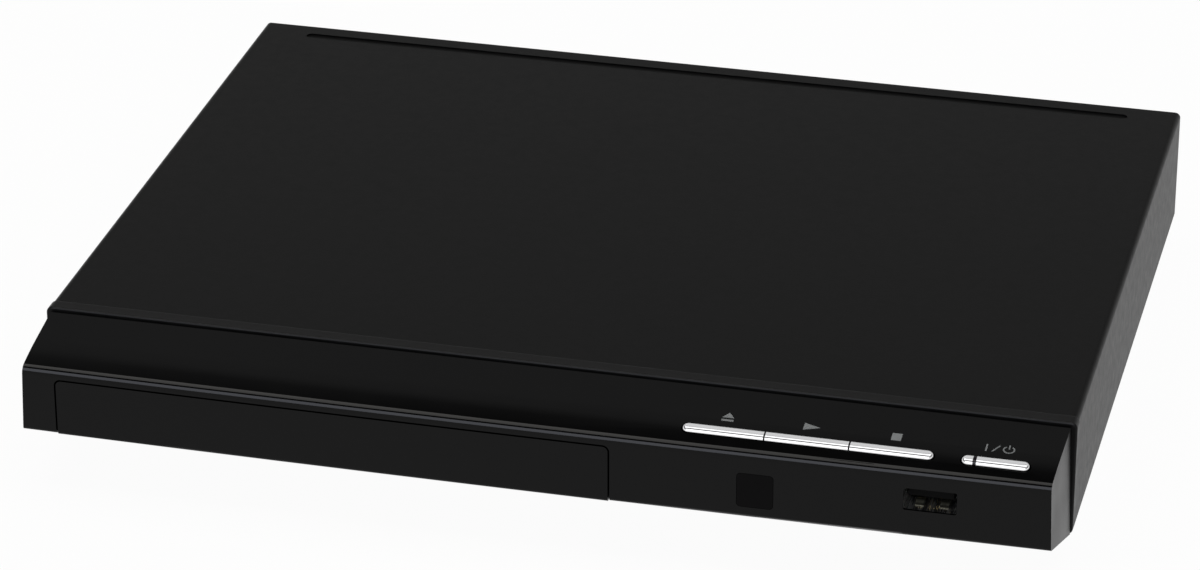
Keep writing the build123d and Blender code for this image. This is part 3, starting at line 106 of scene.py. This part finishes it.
def white_to_view(tree, lit, white, strength):
    """Mixes a lit shader with plain white for camera, mirror and glass rays."""
    links = tree.links
    path = tree.nodes.new("ShaderNodeLightPath")
    either = tree.nodes.new("ShaderNodeMath")
    either.operation = "MAXIMUM"
    links.new(path.outputs["Is Camera Ray"], either.inputs[0])
    links.new(path.outputs["Is Glossy Ray"], either.inputs[1])
    any_view = tree.nodes.new("ShaderNodeMath")
    any_view.operation = "MAXIMUM"
    links.new(either.outputs[0], any_view.inputs[0])
    links.new(path.outputs["Is Transmission Ray"], any_view.inputs[1])
    share = tree.nodes.new("ShaderNodeMath")
    share.operation = "MULTIPLY"
    share.inputs[1].default_value = strength
    links.new(any_view.outputs[0], share.inputs[0])
    mix = tree.nodes.new("ShaderNodeMixShader")
    links.new(share.outputs[0], mix.inputs[0])
    links.new(lit, mix.inputs[1])
    links.new(white, mix.inputs[2])
    return mix.outputs[0]


def make_floor():
    """A wide pale floor that keeps the object's shadow."""
    mesh = bpy.data.meshes.new("floor")
    bm = bmesh.new()
    bmesh.ops.create_grid(bm, x_segments=4, y_segments=4, size=FLOOR_HALF)
    bm.to_mesh(mesh)
    bm.free()
    floor = bpy.data.objects.new("floor", mesh)
    bpy.context.scene.collection.objects.link(floor)
    mat = bpy.data.materials.new("pale_floor")
    mat.use_nodes = True
    tree = mat.node_tree
    tree.nodes.clear()
    diffuse = tree.nodes.new("ShaderNodeBsdfDiffuse")
    diffuse.inputs["Color"].default_value = FLOOR_GREY
    glow = tree.nodes.new("ShaderNodeEmission")
    glow.inputs["Color"].default_value = WHITE
    surface = white_to_view(tree, diffuse.outputs[0], glow.outputs[0], FLOOR_GLOW)
    output = tree.nodes.new("ShaderNodeOutputMaterial")
    tree.links.new(surface, output.inputs["Surface"])
    mesh.materials.append(mat)


def make_world():
    """A studio with soft bands of light round it, white at the horizon and below."""
    world = bpy.data.worlds.new("studio")
    bpy.context.scene.world = world
    world.use_nodes = True
    tree = world.node_tree
    tree.nodes.clear()
    coords = tree.nodes.new("ShaderNodeTexCoord")
    split = tree.nodes.new("ShaderNodeSeparateXYZ")
    tree.links.new(coords.outputs["Generated"], split.inputs[0])
    sky = tree.nodes.new("ShaderNodeValToRGB")
    ramp = sky.color_ramp
    ramp.interpolation = "EASE"
    while len(ramp.elements) < len(SKY_LEVELS):
        ramp.elements.new(0.5)
    for element, (height, _) in zip(ramp.elements, SKY_LEVELS):
        element.position = height
    for element, (_, level) in zip(ramp.elements, SKY_LEVELS):
        element.color = (level, level, level, 1.0)
    tree.links.new(split.outputs["Z"], sky.inputs["Fac"])
    room = tree.nodes.new("ShaderNodeBackground")
    tree.links.new(sky.outputs["Color"], room.inputs["Color"])
    output = tree.nodes.new("ShaderNodeOutputWorld")
    tree.links.new(room.outputs[0], output.inputs["Surface"])


def make_receivers(name, state):
    """A list of the chrome bars that takes them into a lamp's light, or leaves them out of it."""
    receivers = bpy.data.collections.new(name)
    for node in CHROME_NODES:
        receivers.objects.link(nodes[node])
    for entry in receivers.collection_objects:
        entry.light_linking.link_state = state
    return receivers


def soft_box(name, elevation, height, distance, radiance, colour, receivers, lit=False):
    """A rectangular lamp; elevation counts from the front horizon over the top to the back.

    One that is not lit shows only in gloss and metal."""
    data = bpy.data.lights.new(name, "AREA")
    data.shape = "RECTANGLE"
    data.size = LAMP_WIDTH
    data.size_y = height
    data.energy = radiance * pi * LAMP_WIDTH * height
    data.color = colour
    lamp = bpy.data.objects.new(name, data)
    bpy.context.scene.collection.objects.link(lamp)
    angle = radians(elevation)
    place = Vector((0.0, -cos(angle) * distance, sin(angle) * distance))
    lamp.location = place
    lamp.rotation_euler = (-place).to_track_quat("-Z", "Y").to_euler()
    lamp.visible_camera = False
    lamp.visible_diffuse = lit
    lamp.light_linking.receiver_collection = receivers


def make_lights():
    """Warm light overhead and a cool card in front; the chrome bars have weaker cards of their own."""
    not_chrome = make_receivers("all_but_chrome", "EXCLUDE")
    chrome = make_receivers("only_chrome", "INCLUDE")
    soft_box("overhead_box", 94, 1.3, 1.8, 2.0, WARM, not_chrome, lit=True)
    soft_box("overhead_gloss", 93, 1.2, 1.7, 1.6, WARM, not_chrome)
    soft_box("front_card", 36, 1.5, 2.4, 5.6, COOL, not_chrome)
    soft_box("chrome_back", 134, 1.2, 1.8, 0.45, NEUTRAL, chrome)
    soft_box("chrome_over", 92, 1.4, 1.8, 1.25, NEUTRAL, chrome)
    soft_box("chrome_front", 30, 1.4, 2.0, 1.25, NEUTRAL, chrome)


# ================================================================ materials
# how far a face normal leans along X where the front panel's end faces begin and are fully satin
END_FACE_FROM, END_FACE_FULL = 0.7, 0.8
SATIN_ROUGHNESS = 0.26      # what the end faces add to the gloss
CAN_TOP_FROM, CAN_TOP_FULL = 0.85, 0.9
CORE_END = 4.6 * MM         # length of the transformer's ferrite at each end
PLATE_START = 0.2 * MM      # where the nickel begins, outside the rear panel
PLATE_REACH = 5 * MM        # safely past the barrels' ends
LENS_IOR = 1.6


class Shader:
    """A small helper that builds one Principled material from named steps."""

    def __init__(self, name, colour, roughness, metallic=0.0, specular=0.5):
        self.mat = bpy.data.materials.new(name)
        self.mat.use_nodes = True
        self.tree = self.mat.node_tree
        self.bsdf = self.tree.nodes["Principled BSDF"]
        self.colour = (*colour, 1.0)
        self.bsdf.inputs["Base Color"].default_value = self.colour
        self.bsdf.inputs["Roughness"].default_value = roughness
        self.bsdf.inputs["Metallic"].default_value = metallic
        self.bsdf.inputs["Specular IOR Level"].default_value = specular
        self.roughness = roughness
        self.coords = self.tree.nodes.new("ShaderNodeTexCoord")

    def link(self, a, b):
        self.tree.links.new(a, b)

    def noise(self, size, stretch=(1, 1, 1), detail=3.0):
        """Noise whose grains are about size metres across, stretched along the axes."""
        mapping = self.tree.nodes.new("ShaderNodeMapping")
        mapping.inputs["Scale"].default_value = tuple(1.0 / s for s in stretch)
        self.link(self.coords.outputs["Object"], mapping.inputs["Vector"])
        noise = self.tree.nodes.new("ShaderNodeTexNoise")
        noise.inputs["Scale"].default_value = 1.0 / size
        noise.inputs["Detail"].default_value = detail
        self.link(mapping.outputs[0], noise.inputs["Vector"])
        return noise.outputs["Fac"]

    def ranged(self, value, low, high, from_low=0.3, from_high=0.7):
        node = self.tree.nodes.new("ShaderNodeMapRange")
        node.inputs["From Min"].default_value = from_low
        node.inputs["From Max"].default_value = from_high
        node.inputs["To Min"].default_value = low
        node.inputs["To Max"].default_value = high
        self.link(value, node.inputs["Value"])
        return node.outputs["Result"]

    def blend(self, factor, first, second):
        """A colour between two others; each is a colour or another node's output."""
        mix = self.tree.nodes.new("ShaderNodeMix")
        mix.data_type = "RGBA"
        self.link(factor, mix.inputs["Factor"])
        for socket, colour in ((mix.inputs["A"], first), (mix.inputs["B"], second)):
            if isinstance(colour, tuple):
                socket.default_value = (*colour, 1.0)[:4]
            else:
                self.link(colour, socket)
        return mix.outputs["Result"]

    def mottle(self, size, depth, stretch=(1, 1, 1)):
        """Lightens and darkens the base colour a little."""
        factor = self.ranged(self.noise(size, stretch), 0.0, 1.0)
        dark = tuple(c * (1 - depth) for c in self.colour[:3])
        light = tuple(min(1.0, c * (1 + depth)) for c in self.colour[:3])
        self.link(self.blend(factor, dark, light), self.bsdf.inputs["Base Color"])
        return self

    def vary_roughness(self, size, swing, stretch=(1, 1, 1)):
        low, high = self.roughness - swing, self.roughness + swing
        rough = self.ranged(self.noise(size, stretch), low, high)
        self.link(rough, self.bsdf.inputs["Roughness"])
        return self

    def normal(self, axis):
        """How far the face normal leans along an axis."""
        geometry = self.tree.nodes.new("ShaderNodeNewGeometry")
        split = self.tree.nodes.new("ShaderNodeSeparateXYZ")
        self.link(geometry.outputs["Normal"], split.inputs[0])
        return split.outputs[axis]

    def maths(self, operation, first, second=None):
        """One Math node; each value is a number or another node's output."""
        node = self.tree.nodes.new("ShaderNodeMath")
        node.operation = operation
        for socket, value in zip(node.inputs, (first, second)):
            if isinstance(value, float):
                socket.default_value = value
            elif value is not None:
                self.link(value, socket)
        return node.outputs[0]

    def grain(self, size, height, stretch=(1, 1, 1), strength=1.0):
        """Fine bumps of about height metres."""
        bump = self.tree.nodes.new("ShaderNodeBump")
        bump.inputs["Distance"].default_value = height
        bump.inputs["Strength"].default_value = strength
        self.link(self.noise(size, stretch, 2.0), bump.inputs["Height"])
        self.link(bump.outputs[0], self.bsdf.inputs["Normal"])
        return self

    def band(self, axis, low, high):
        """1 between two places along an axis of the row frame, else 0."""
        split = self.tree.nodes.new("ShaderNodeSeparateXYZ")
        self.link(self.coords.outputs["Object"], split.inputs[0])
        above = self.maths("GREATER_THAN", split.outputs[axis], low)
        below = self.maths("LESS_THAN", split.outputs[axis], high)
        return self.maths("MULTIPLY", above, below)


def plastic(name, colour, roughness, grain=0.00004, specular=0.5):
    """Moulded plastic with a fine spark-eroded texture."""
    shader = Shader(name, colour, roughness, specular=specular)
    shader.mottle(0.006, 0.12)
    shader.vary_roughness(0.004, 0.05)
    return shader.grain(0.0006, grain)


def gloss_black():
    """Piano-black plastic with the faint waviness of a moulding; its end faces are satin."""
    shader = Shader("gloss_black", (0.0014, 0.0014, 0.0015), 0.09, specular=0.135)
    shader.mottle(0.02, 0.1)
    size = shader.maths("ABSOLUTE", shader.normal("X"))
    satin = shader.ranged(size, 0.0, SATIN_ROUGHNESS, END_FACE_FROM, END_FACE_FULL)
    uneven = shader.ranged(shader.noise(0.012), 0.06, 0.12)
    shader.link(shader.maths("ADD", satin, uneven), shader.bsdf.inputs["Roughness"])
    return shader.grain(0.03, 0.00001, strength=0.3)


def cover_paint():
    """Black paint with a very fine texture on sheet steel."""
    shader = Shader("cover_paint", (0.0016, 0.0016, 0.0016), 0.4, specular=0.07)
    shader.mottle(0.0012, 0.22)
    shader.vary_roughness(0.003, 0.03)
    return shader.grain(0.0005, 0.00005, strength=0.4)


def matt_black():
    shader = Shader("matt_black", (0.0034, 0.0034, 0.0035), 0.4, specular=0.1)
    shader.mottle(0.004, 0.15)
    shader.vary_roughness(0.004, 0.05)
    return shader.grain(0.0006, 0.00002, strength=0.4)


def chrome_trim():
    """Bright plating over a moulded bar."""
    shader = Shader("chrome_trim", (0.88, 0.88, 0.89), 0.06, metallic=1.0)
    shader.vary_roughness(0.003, 0.015)
    shader.mottle(0.01, 0.02)
    return shader


def sheet_metal(name, colour, roughness, stretch=(30, 1, 1)):
    """Rolled sheet with streaks along one axis."""
    shader = Shader(name, colour, roughness, metallic=1.0)
    shader.mottle(0.0004, 0.12, stretch)
    shader.vary_roughness(0.0004, 0.08, stretch)
    return shader.grain(0.0003, 0.00001, stretch, 0.5)


def spangled_steel():
    """Zinc-plated sheet with a faint crystal pattern."""
    shader = Shader("zinc_steel", (0.52, 0.53, 0.54), 0.42, metallic=1.0)
    cells = shader.tree.nodes.new("ShaderNodeTexVoronoi")
    cells.inputs["Scale"].default_value = 220.0
    shader.link(shader.coords.outputs["Object"], cells.inputs["Vector"])
    factor = shader.ranged(cells.outputs["Distance"], 0.0, 1.0, 0.1, 0.6)
    zinc = shader.blend(factor, (0.46, 0.47, 0.48), (0.58, 0.59, 0.6))
    shader.link(zinc, shader.bsdf.inputs["Base Color"])
    shader.vary_roughness(0.004, 0.08)
    return shader


def circuit_board(name, mask, trace, pad):
    """Solder mask with straight conductor runs and tinned pads."""
    shader = Shader(name, mask, 0.35)
    bricks = shader.tree.nodes.new("ShaderNodeTexBrick")
    bricks.inputs["Scale"].default_value = 60.0
    bricks.inputs["Mortar Size"].default_value = 0.03
    bricks.inputs["Mortar Smooth"].default_value = 0.0
    bricks.inputs["Color1"].default_value = (*mask, 1)
    bricks.inputs["Color2"].default_value = (*(c * 0.85 for c in mask), 1)
    bricks.inputs["Mortar"].default_value = (*trace, 1)
    shader.link(shader.coords.outputs["Object"], bricks.inputs["Vector"])
    dots = shader.tree.nodes.new("ShaderNodeTexVoronoi")
    dots.inputs["Scale"].default_value = 260.0
    dots.inputs["Randomness"].default_value = 0.35
    shader.link(shader.coords.outputs["Object"], dots.inputs["Vector"])
    spots = shader.ranged(dots.outputs["Distance"], 1.0, 0.0, 0.12, 0.14)
    patches = shader.ranged(shader.noise(0.018), 0.0, 1.0, 0.52, 0.56)
    pads = shader.maths("MULTIPLY", spots, patches)
    printed_side = shader.blend(pads, bricks.outputs["Color"], pad)
    shader.link(printed_side, shader.bsdf.inputs["Base Color"])
    shader.vary_roughness(0.002, 0.06)
    return shader.grain(0.0012, 0.00003)


def ribbon_cable():
    """Laminated flat cable: bright conductors under a pale film."""
    shader = Shader("cable_white", (0.72, 0.74, 0.76), 0.4)
    stripes = shader.tree.nodes.new("ShaderNodeTexWave")
    stripes.wave_type = "BANDS"
    stripes.bands_direction = "X"
    stripes.inputs["Scale"].default_value = 160.0
    shader.link(shader.coords.outputs["Object"], stripes.inputs["Vector"])
    factor = shader.ranged(stripes.outputs["Fac"], 0.0, 1.0, 0.45, 0.55)
    film = shader.blend(factor, (0.78, 0.79, 0.8), (0.5, 0.52, 0.55))
    shader.link(film, shader.bsdf.inputs["Base Color"])
    return shader


def transformer_wrap():
    """Dark ferrite ends around a winding in yellow tape."""
    low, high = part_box("power_transformer")
    shader = Shader("transformer_mix", (0.07, 0.07, 0.075), 0.5)
    winding = shader.band("Y", low.y + CORE_END, high.y - CORE_END)
    wear = shader.ranged(shader.noise(0.0012, (8, 1, 8)), 0, 1)
    tape = shader.blend(wear, (0.55, 0.4, 0.05), (0.68, 0.5, 0.07))
    shader.link(shader.blend(winding, (0.03, 0.03, 0.032), tape), shader.bsdf.inputs["Base Color"])
    return shader.grain(0.0008, 0.00004)


def capacitor_sleeve():
    """Dark sleeve, with bare aluminium on the flat top."""
    sleeve = (0.02, 0.025, 0.06)
    shader = Shader("capacitor_can", sleeve, 0.3)
    top = shader.ranged(shader.normal("Z"), 0.0, 1.0, CAN_TOP_FROM, CAN_TOP_FULL)
    shader.link(shader.blend(top, sleeve, (0.7, 0.71, 0.72)), shader.bsdf.inputs["Base Color"])
    shader.link(top, shader.bsdf.inputs["Metallic"])
    return shader


def clear_lens():
    shader = Shader("lens_glass", (0.45, 0.5, 0.75), 0.03)
    shader.bsdf.inputs["Transmission Weight"].default_value = 0.85
    shader.bsdf.inputs["IOR"].default_value = LENS_IOR
    shader.mottle(0.002, 0.05)
    return shader


def lamp_red():
    """The lamp's band, smoked so dark that it hardly shows red when off."""
    shader = Shader("lamp_red", (0.006, 0.003, 0.006), 0.12, specular=0.2)
    shader.mottle(0.002, 0.1)
    return shader


def window_tint():
    """Infrared window: deep tinted gloss."""
    shader = Shader("window_tint", (0.001, 0.0007, 0.001), 0.07, specular=0.06)
    shader.mottle(0.01, 0.1)
    return shader.grain(0.02, 0.00001, strength=0.2)


def plated_barrels():
    """Black moulded housings with nickel barrels outside the rear panel."""
    housing = (0.022, 0.022, 0.022)
    shader = Shader("jack_barrels", housing, 0.3)
    outside = shader.band("Y", panel_high.y + PLATE_START, av_high.y + PLATE_REACH)
    plate = shader.ranged(shader.noise(0.0006, (1, 14, 1)), 0, 1)
    nickel = shader.blend(plate, (0.55, 0.54, 0.51), (0.68, 0.67, 0.63))
    shader.link(shader.blend(outside, housing, nickel), shader.bsdf.inputs["Base Color"])
    shader.link(outside, shader.bsdf.inputs["Metallic"])
    return shader


def make_materials():
    made = {
        "cover_paint": cover_paint(),
        "gloss_black": gloss_black(),
        "matt_black": matt_black(),
        "chrome_trim": chrome_trim(),
        "window_tint": window_tint(),
        "lamp_red": lamp_red(),
        "zinc_steel": spangled_steel(),
        "screw_steel": sheet_metal("screw_steel", (0.16, 0.16, 0.17), 0.38, (1, 1, 1)),
        "rubber_black": plastic("rubber_black", (0.018, 0.018, 0.019), 0.82, 0.00008),
        "board_green": circuit_board("board_green", mask=(0.02, 0.1, 0.035),
                                     trace=(0.05, 0.2, 0.07), pad=(0.62, 0.62, 0.6)),
        "board_tan": circuit_board("board_tan", mask=(0.42, 0.28, 0.12),
                                   trace=(0.34, 0.21, 0.08), pad=(0.6, 0.6, 0.58)),
        "chip_black": plastic("chip_black", (0.02, 0.02, 0.021), 0.55),
        "aluminium_bare": sheet_metal("aluminium_bare", (0.7, 0.71, 0.72), 0.38, (1, 20, 1)),
        "capacitor_can": capacitor_sleeve(),
        "transformer_mix": transformer_wrap(),
        "loader_black": plastic("loader_black", (0.02, 0.02, 0.021), 0.5),
        "tray_black": plastic("tray_black", (0.03, 0.03, 0.031), 0.38, 0.00003),
        "gear_white": plastic("gear_white", (0.7, 0.68, 0.62), 0.42, 0.00002),
        "motor_steel": sheet_metal("motor_steel", (0.58, 0.58, 0.56), 0.32, (12, 12, 1)),
        "nickel_shell": sheet_metal("nickel_shell", (0.7, 0.69, 0.66), 0.26, (1, 18, 1)),
        "brass_pins": sheet_metal("brass_pins", (0.78, 0.6, 0.3), 0.25, (1, 10, 1)),
        "rod_steel": sheet_metal("rod_steel", (0.66, 0.66, 0.66), 0.2, (1, 25, 1)),
        "lens_glass": clear_lens(),
        "cable_white": ribbon_cable(),
        "jack_black": plastic("jack_black", (0.022, 0.022, 0.022), 0.45),
        "magnet_dark": plastic("magnet_dark", (0.05, 0.05, 0.052), 0.6),
    }
    return {name: shader.mat for name, shader in made.items()}


def dress_nodes(mats):
    """Every carried-over node takes the material of its slot; the USB tongue and jacks differ."""
    for entry in frame["record"]["subparts"]:
        mesh = nodes[entry["node"]].data
        mesh.materials.clear()
        mesh.materials.append(mats[entry["material_slot"]])
    tongue = plastic("tongue_black", (0.004, 0.004, 0.004), 0.6, specular=0.03)
    nodes["usb_tongue"].data.materials[0] = tongue.mat
    barrels = plated_barrels()
    for name in ("av_jacks", "coax_jack"):
        nodes[name].data.materials[0] = barrels.mat


# ================================================================ extra pieces
# the marks' outlines in mm round their own centres, seen from above
INK = 0.05 * MM
MARK_SETBACK = 12.6 * MM    # from the front panel's rear edge to the marks' centres
EJECT_ARROW = ((-1.55, -0.15), (1.55, -0.15), (0.0, 2.0))
EJECT_BAR = ((-1.55, -1.65), (1.55, -1.65), (1.55, -0.85), (-1.55, -0.85))
PLAY_ARROW = ((-2.1, -1.5), (2.1, 0.0), (-2.1, 1.5))
STOP_SQUARE = ((-1.25, -1.5), (1.25, -1.5), (1.25, 1.5), (-1.25, 1.5))
ON_STROKE = ((-0.19, -1.5), (0.19, -1.5), (0.19, 1.5), (-0.19, 1.5))
SLASH_STROKE = ((-1.0, -1.35), (-0.6, -1.35), (1.0, 1.35), (0.6, 1.35))
STANDBY_STEM = ((-0.18, 0.2), (0.18, 0.2), (0.18, 1.9), (-0.18, 1.9))
STANDBY_RADIUS, STANDBY_LINE = 1.35, 0.36
STANDBY_START, STANDBY_END, STANDBY_PATCHES = 125, 415, 20
# places of the three on-off marks from the middle of their button
ON_X, SLASH_X, STANDBY_X = -3.3 * MM, -0.9 * MM, 2.3 * MM

USB_HEIGHT = 6.4 * MM       # from the shell's top to its floor, inside
SPRING_FROM, SPRING_STEP, SPRING_STEPS = 2.0 * MM, 0.8 * MM, 6
SPRING_RISE, SPRING_SEAT = 0.85 * MM, 0.12 * MM
SPRING_WIDTH, SPRING_SHEET, SPRING_X = 2.2 * MM, 0.2 * MM, 3.1 * MM
CONTACT_FROM, CONTACT_STEP, CONTACT_POINTS = 5.4 * MM, 0.6 * MM, 6
CONTACT_WIDTH, CONTACT_SHEET, CONTACT_DROP = 1.0 * MM, 0.1 * MM, 4.55 * MM
CONTACT_PLACES = (-3.5 * MM, -1.0 * MM, 1.0 * MM, 3.5 * MM)

JACK_DROP = 6.4 * MM        # from the jack moulding's top to the barrels' axes
JACK_PITCH = 14 * MM
RING_STEPS = 40
# radius and distance from the rear panel of the points round a collar's section, in mm
COLLAR_SECTION = ((4.2, -0.3), (4.2, 0.9), (4.5, 1.1), (5.4, 1.1), (5.8, 0.8), (5.8, 0.02))


def middle_x(corners):
    """The middle of a box's width, from its two corners."""
    low, high = corners
    return (low.x + high.x) / 2


def slope_z(x, y):
    """Height of the front panel's top; the panel is bowed, so its profile sits back at the ends."""
    y -= x * x / (2 * BOW_RADIUS)
    crown_y = fascia_low.y + CROWN_DEPTH
    if y > crown_y:
        return fascia_high.z - (fascia_high.y - y) * tan(SLOPE_PITCH)
    crown_r = CROWN_DEPTH / (sin(NOSE_PITCH) - sin(SLOPE_PITCH))
    crown_z = fascia_high.z - (fascia_high.y - crown_y) * tan(SLOPE_PITCH)
    sine = sin(SLOPE_PITCH) + (crown_y - y) / crown_r
    return crown_z - crown_r * (cos(SLOPE_PITCH) - sqrt(1 - sine * sine))


def new_piece(name, bm, body, material, smooth=False):
    """Turns a bmesh into a piece that rides on a body."""
    bmesh.ops.recalc_face_normals(bm, faces=bm.faces)
    mesh = bpy.data.meshes.new(name)
    bm.to_mesh(mesh)
    bm.free()
    for face in mesh.polygons:
        face.use_smooth = smooth
    mesh.materials.append(material)
    piece = bpy.data.objects.new(name, mesh)
    bpy.context.scene.collection.objects.link(piece)
    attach(piece, body)


def print_patch(bm, outline, centre):
    """One inked patch on the slope: an outline in mm round a centre, wrapped to the panel's top."""
    rings = []
    for lift in (-INK, INK):
        ring = []
        for x, y in outline:
            place = (centre[0] + x * MM, centre[1] + y * MM)
            ring.append(bm.verts.new((*place, slope_z(*place) + lift)))
        rings.append(ring)
    bottom, top = rings
    bm.faces.new(top)
    bm.faces.new(list(reversed(bottom)))
    for k in range(len(outline)):
        n = (k + 1) % len(outline)
        bm.faces.new((bottom[k], bottom[n], top[n], top[k]))


def printed(name, outlines, centre, ink):
    bm = bmesh.new()
    for outline in outlines:
        print_patch(bm, outline, centre)
    new_piece(name, bm, "casing", ink)


def ring_patches(radius, width, start, end, count):
    """Short four-sided patches that make up an open ring; start and end are in degrees."""
    patches = []
    step = (end - start) / count
    inner, outer = radius - width / 2, radius + width / 2
    for k in range(count):
        a, b = radians(start + k * step), radians(start + (k + 1) * step)
        patches.append((
            (inner * cos(a), inner * sin(a)), (outer * cos(a), outer * sin(a)),
            (outer * cos(b), outer * sin(b)), (inner * cos(b), inner * sin(b))))
    return patches


def make_marks(ink):
    """The generic button marks behind the bars: eject, play, stop and on-off."""
    mark_y = fascia_high.y - MARK_SETBACK
    power_x = middle_x((power_low, power_high))
    standby = ring_patches(STANDBY_RADIUS, STANDBY_LINE, STANDBY_START, STANDBY_END, STANDBY_PATCHES)
    for name, outlines, x in (
            ("eject_mark", [EJECT_ARROW, EJECT_BAR], middle_x((eject_low, eject_high))),
            ("play_mark", [PLAY_ARROW], middle_x((play_low, play_high))),
            ("stop_mark", [STOP_SQUARE], middle_x((stop_low, stop_high))),
            ("on_mark", [ON_STROKE], power_x + ON_X),
            ("slash_mark", [SLASH_STROKE], power_x + SLASH_X),
            ("standby_mark", standby + [STANDBY_STEM], power_x + STANDBY_X)):
        printed(name, outlines, (x, mark_y), ink)


def bent_strip(name, points, width, thickness, x, material):
    """A thin sprung strip along Y that follows (y, z) points in metres."""
    bm = bmesh.new()
    rows = []
    for y, z in points:
        rows.append([bm.verts.new((x + sx * width / 2, y, z + sz * thickness / 2))
                     for sx, sz in ((-1, -1), (1, -1), (1, 1), (-1, 1))])
    for a, b in zip(rows[:-1], rows[1:]):
        for k in range(4):
            n = (k + 1) % 4
            bm.faces.new((a[k], a[n], b[n], b[k]))
    bm.faces.new(rows[0])
    bm.faces.new(list(reversed(rows[-1])))
    new_piece(name, bm, "casing", material)


def make_usb_details(spring, gold):
    """Two sprung tabs on the shell's floor and four contacts under the tongue."""
    middle = middle_x((usb_low, usb_high))
    floor = usb_high.z - USB_HEIGHT + SPRING_SEAT
    for side, word in ((-1, "left"), (1, "right")):
        points = [(usb_low.y + SPRING_FROM + SPRING_STEP * k,
                   floor + SPRING_RISE * sin(pi * k / SPRING_STEPS) ** 2)
                  for k in range(SPRING_STEPS + 1)]
        bent_strip("usb_spring_" + word, points, SPRING_WIDTH, SPRING_SHEET,
                   middle + side * SPRING_X, spring)
    for k, x in enumerate(CONTACT_PLACES):
        points = [(usb_low.y + CONTACT_FROM + CONTACT_STEP * n, tongue_high.z - CONTACT_DROP)
                  for n in range(CONTACT_POINTS)]
        bent_strip("usb_contact_%d" % (k + 1), points, CONTACT_WIDTH, CONTACT_SHEET,
                   middle + x, gold)


def turned_ring(name, centre, profile, material):
    """A ring turned about Y; the profile lists (radius, y) points in metres, closed."""
    bm = bmesh.new()
    rows = []
    for k in range(RING_STEPS):
        a = 2 * pi * k / RING_STEPS
        rows.append([bm.verts.new((centre[0] + r * cos(a), y, centre[1] + r * sin(a)))
                     for r, y in profile])
    for k in range(RING_STEPS):
        a, b = rows[k], rows[(k + 1) % RING_STEPS]
        for m in range(len(profile)):
            n = (m + 1) % len(profile)
            bm.faces.new((a[m], a[n], b[n], b[m]))
    new_piece(name, bm, "casing", material, smooth=True)


def make_jack_collars():
    """A coloured collar round each jack, against the rear panel."""
    jack_z = av_high.z - JACK_DROP
    middle = middle_x((av_low, av_high))
    profile = [(radius * MM, panel_high.y + out * MM) for radius, out in COLLAR_SECTION]
    for name, x, colour in (
            ("video_collar", middle - JACK_PITCH, (0.62, 0.5, 0.03)),
            ("left_audio_collar", middle, (0.62, 0.62, 0.6)),
            ("right_audio_collar", middle + JACK_PITCH, (0.5, 0.02, 0.02)),
            ("digital_audio_collar", middle_x((coax_low, coax_high)), (0.6, 0.2, 0.02))):
        paint = plastic(name + "_plastic", colour, 0.35, 0.00002)
        turned_ring(name, (x, jack_z), profile, paint.mat)


make_camera()
make_floor()
make_world()
make_lights()
materials = make_materials()
dress_nodes(materials)
make_marks(plastic("print_grey", (0.2, 0.21, 0.215), 0.5, 0.00001, specular=0.2).mat)
# the spring tabs' steel is coloured a very dark brown: painted shade for the inside of the USB port
make_usb_details(sheet_metal("usb_spring_steel_painted_shade", (0.055, 0.053, 0.04), 0.5, (1, 12, 1)).mat,
                 sheet_metal("usb_contact_gold", (0.8, 0.6, 0.28), 0.25, (1, 12, 1)).mat)
make_jack_collars()
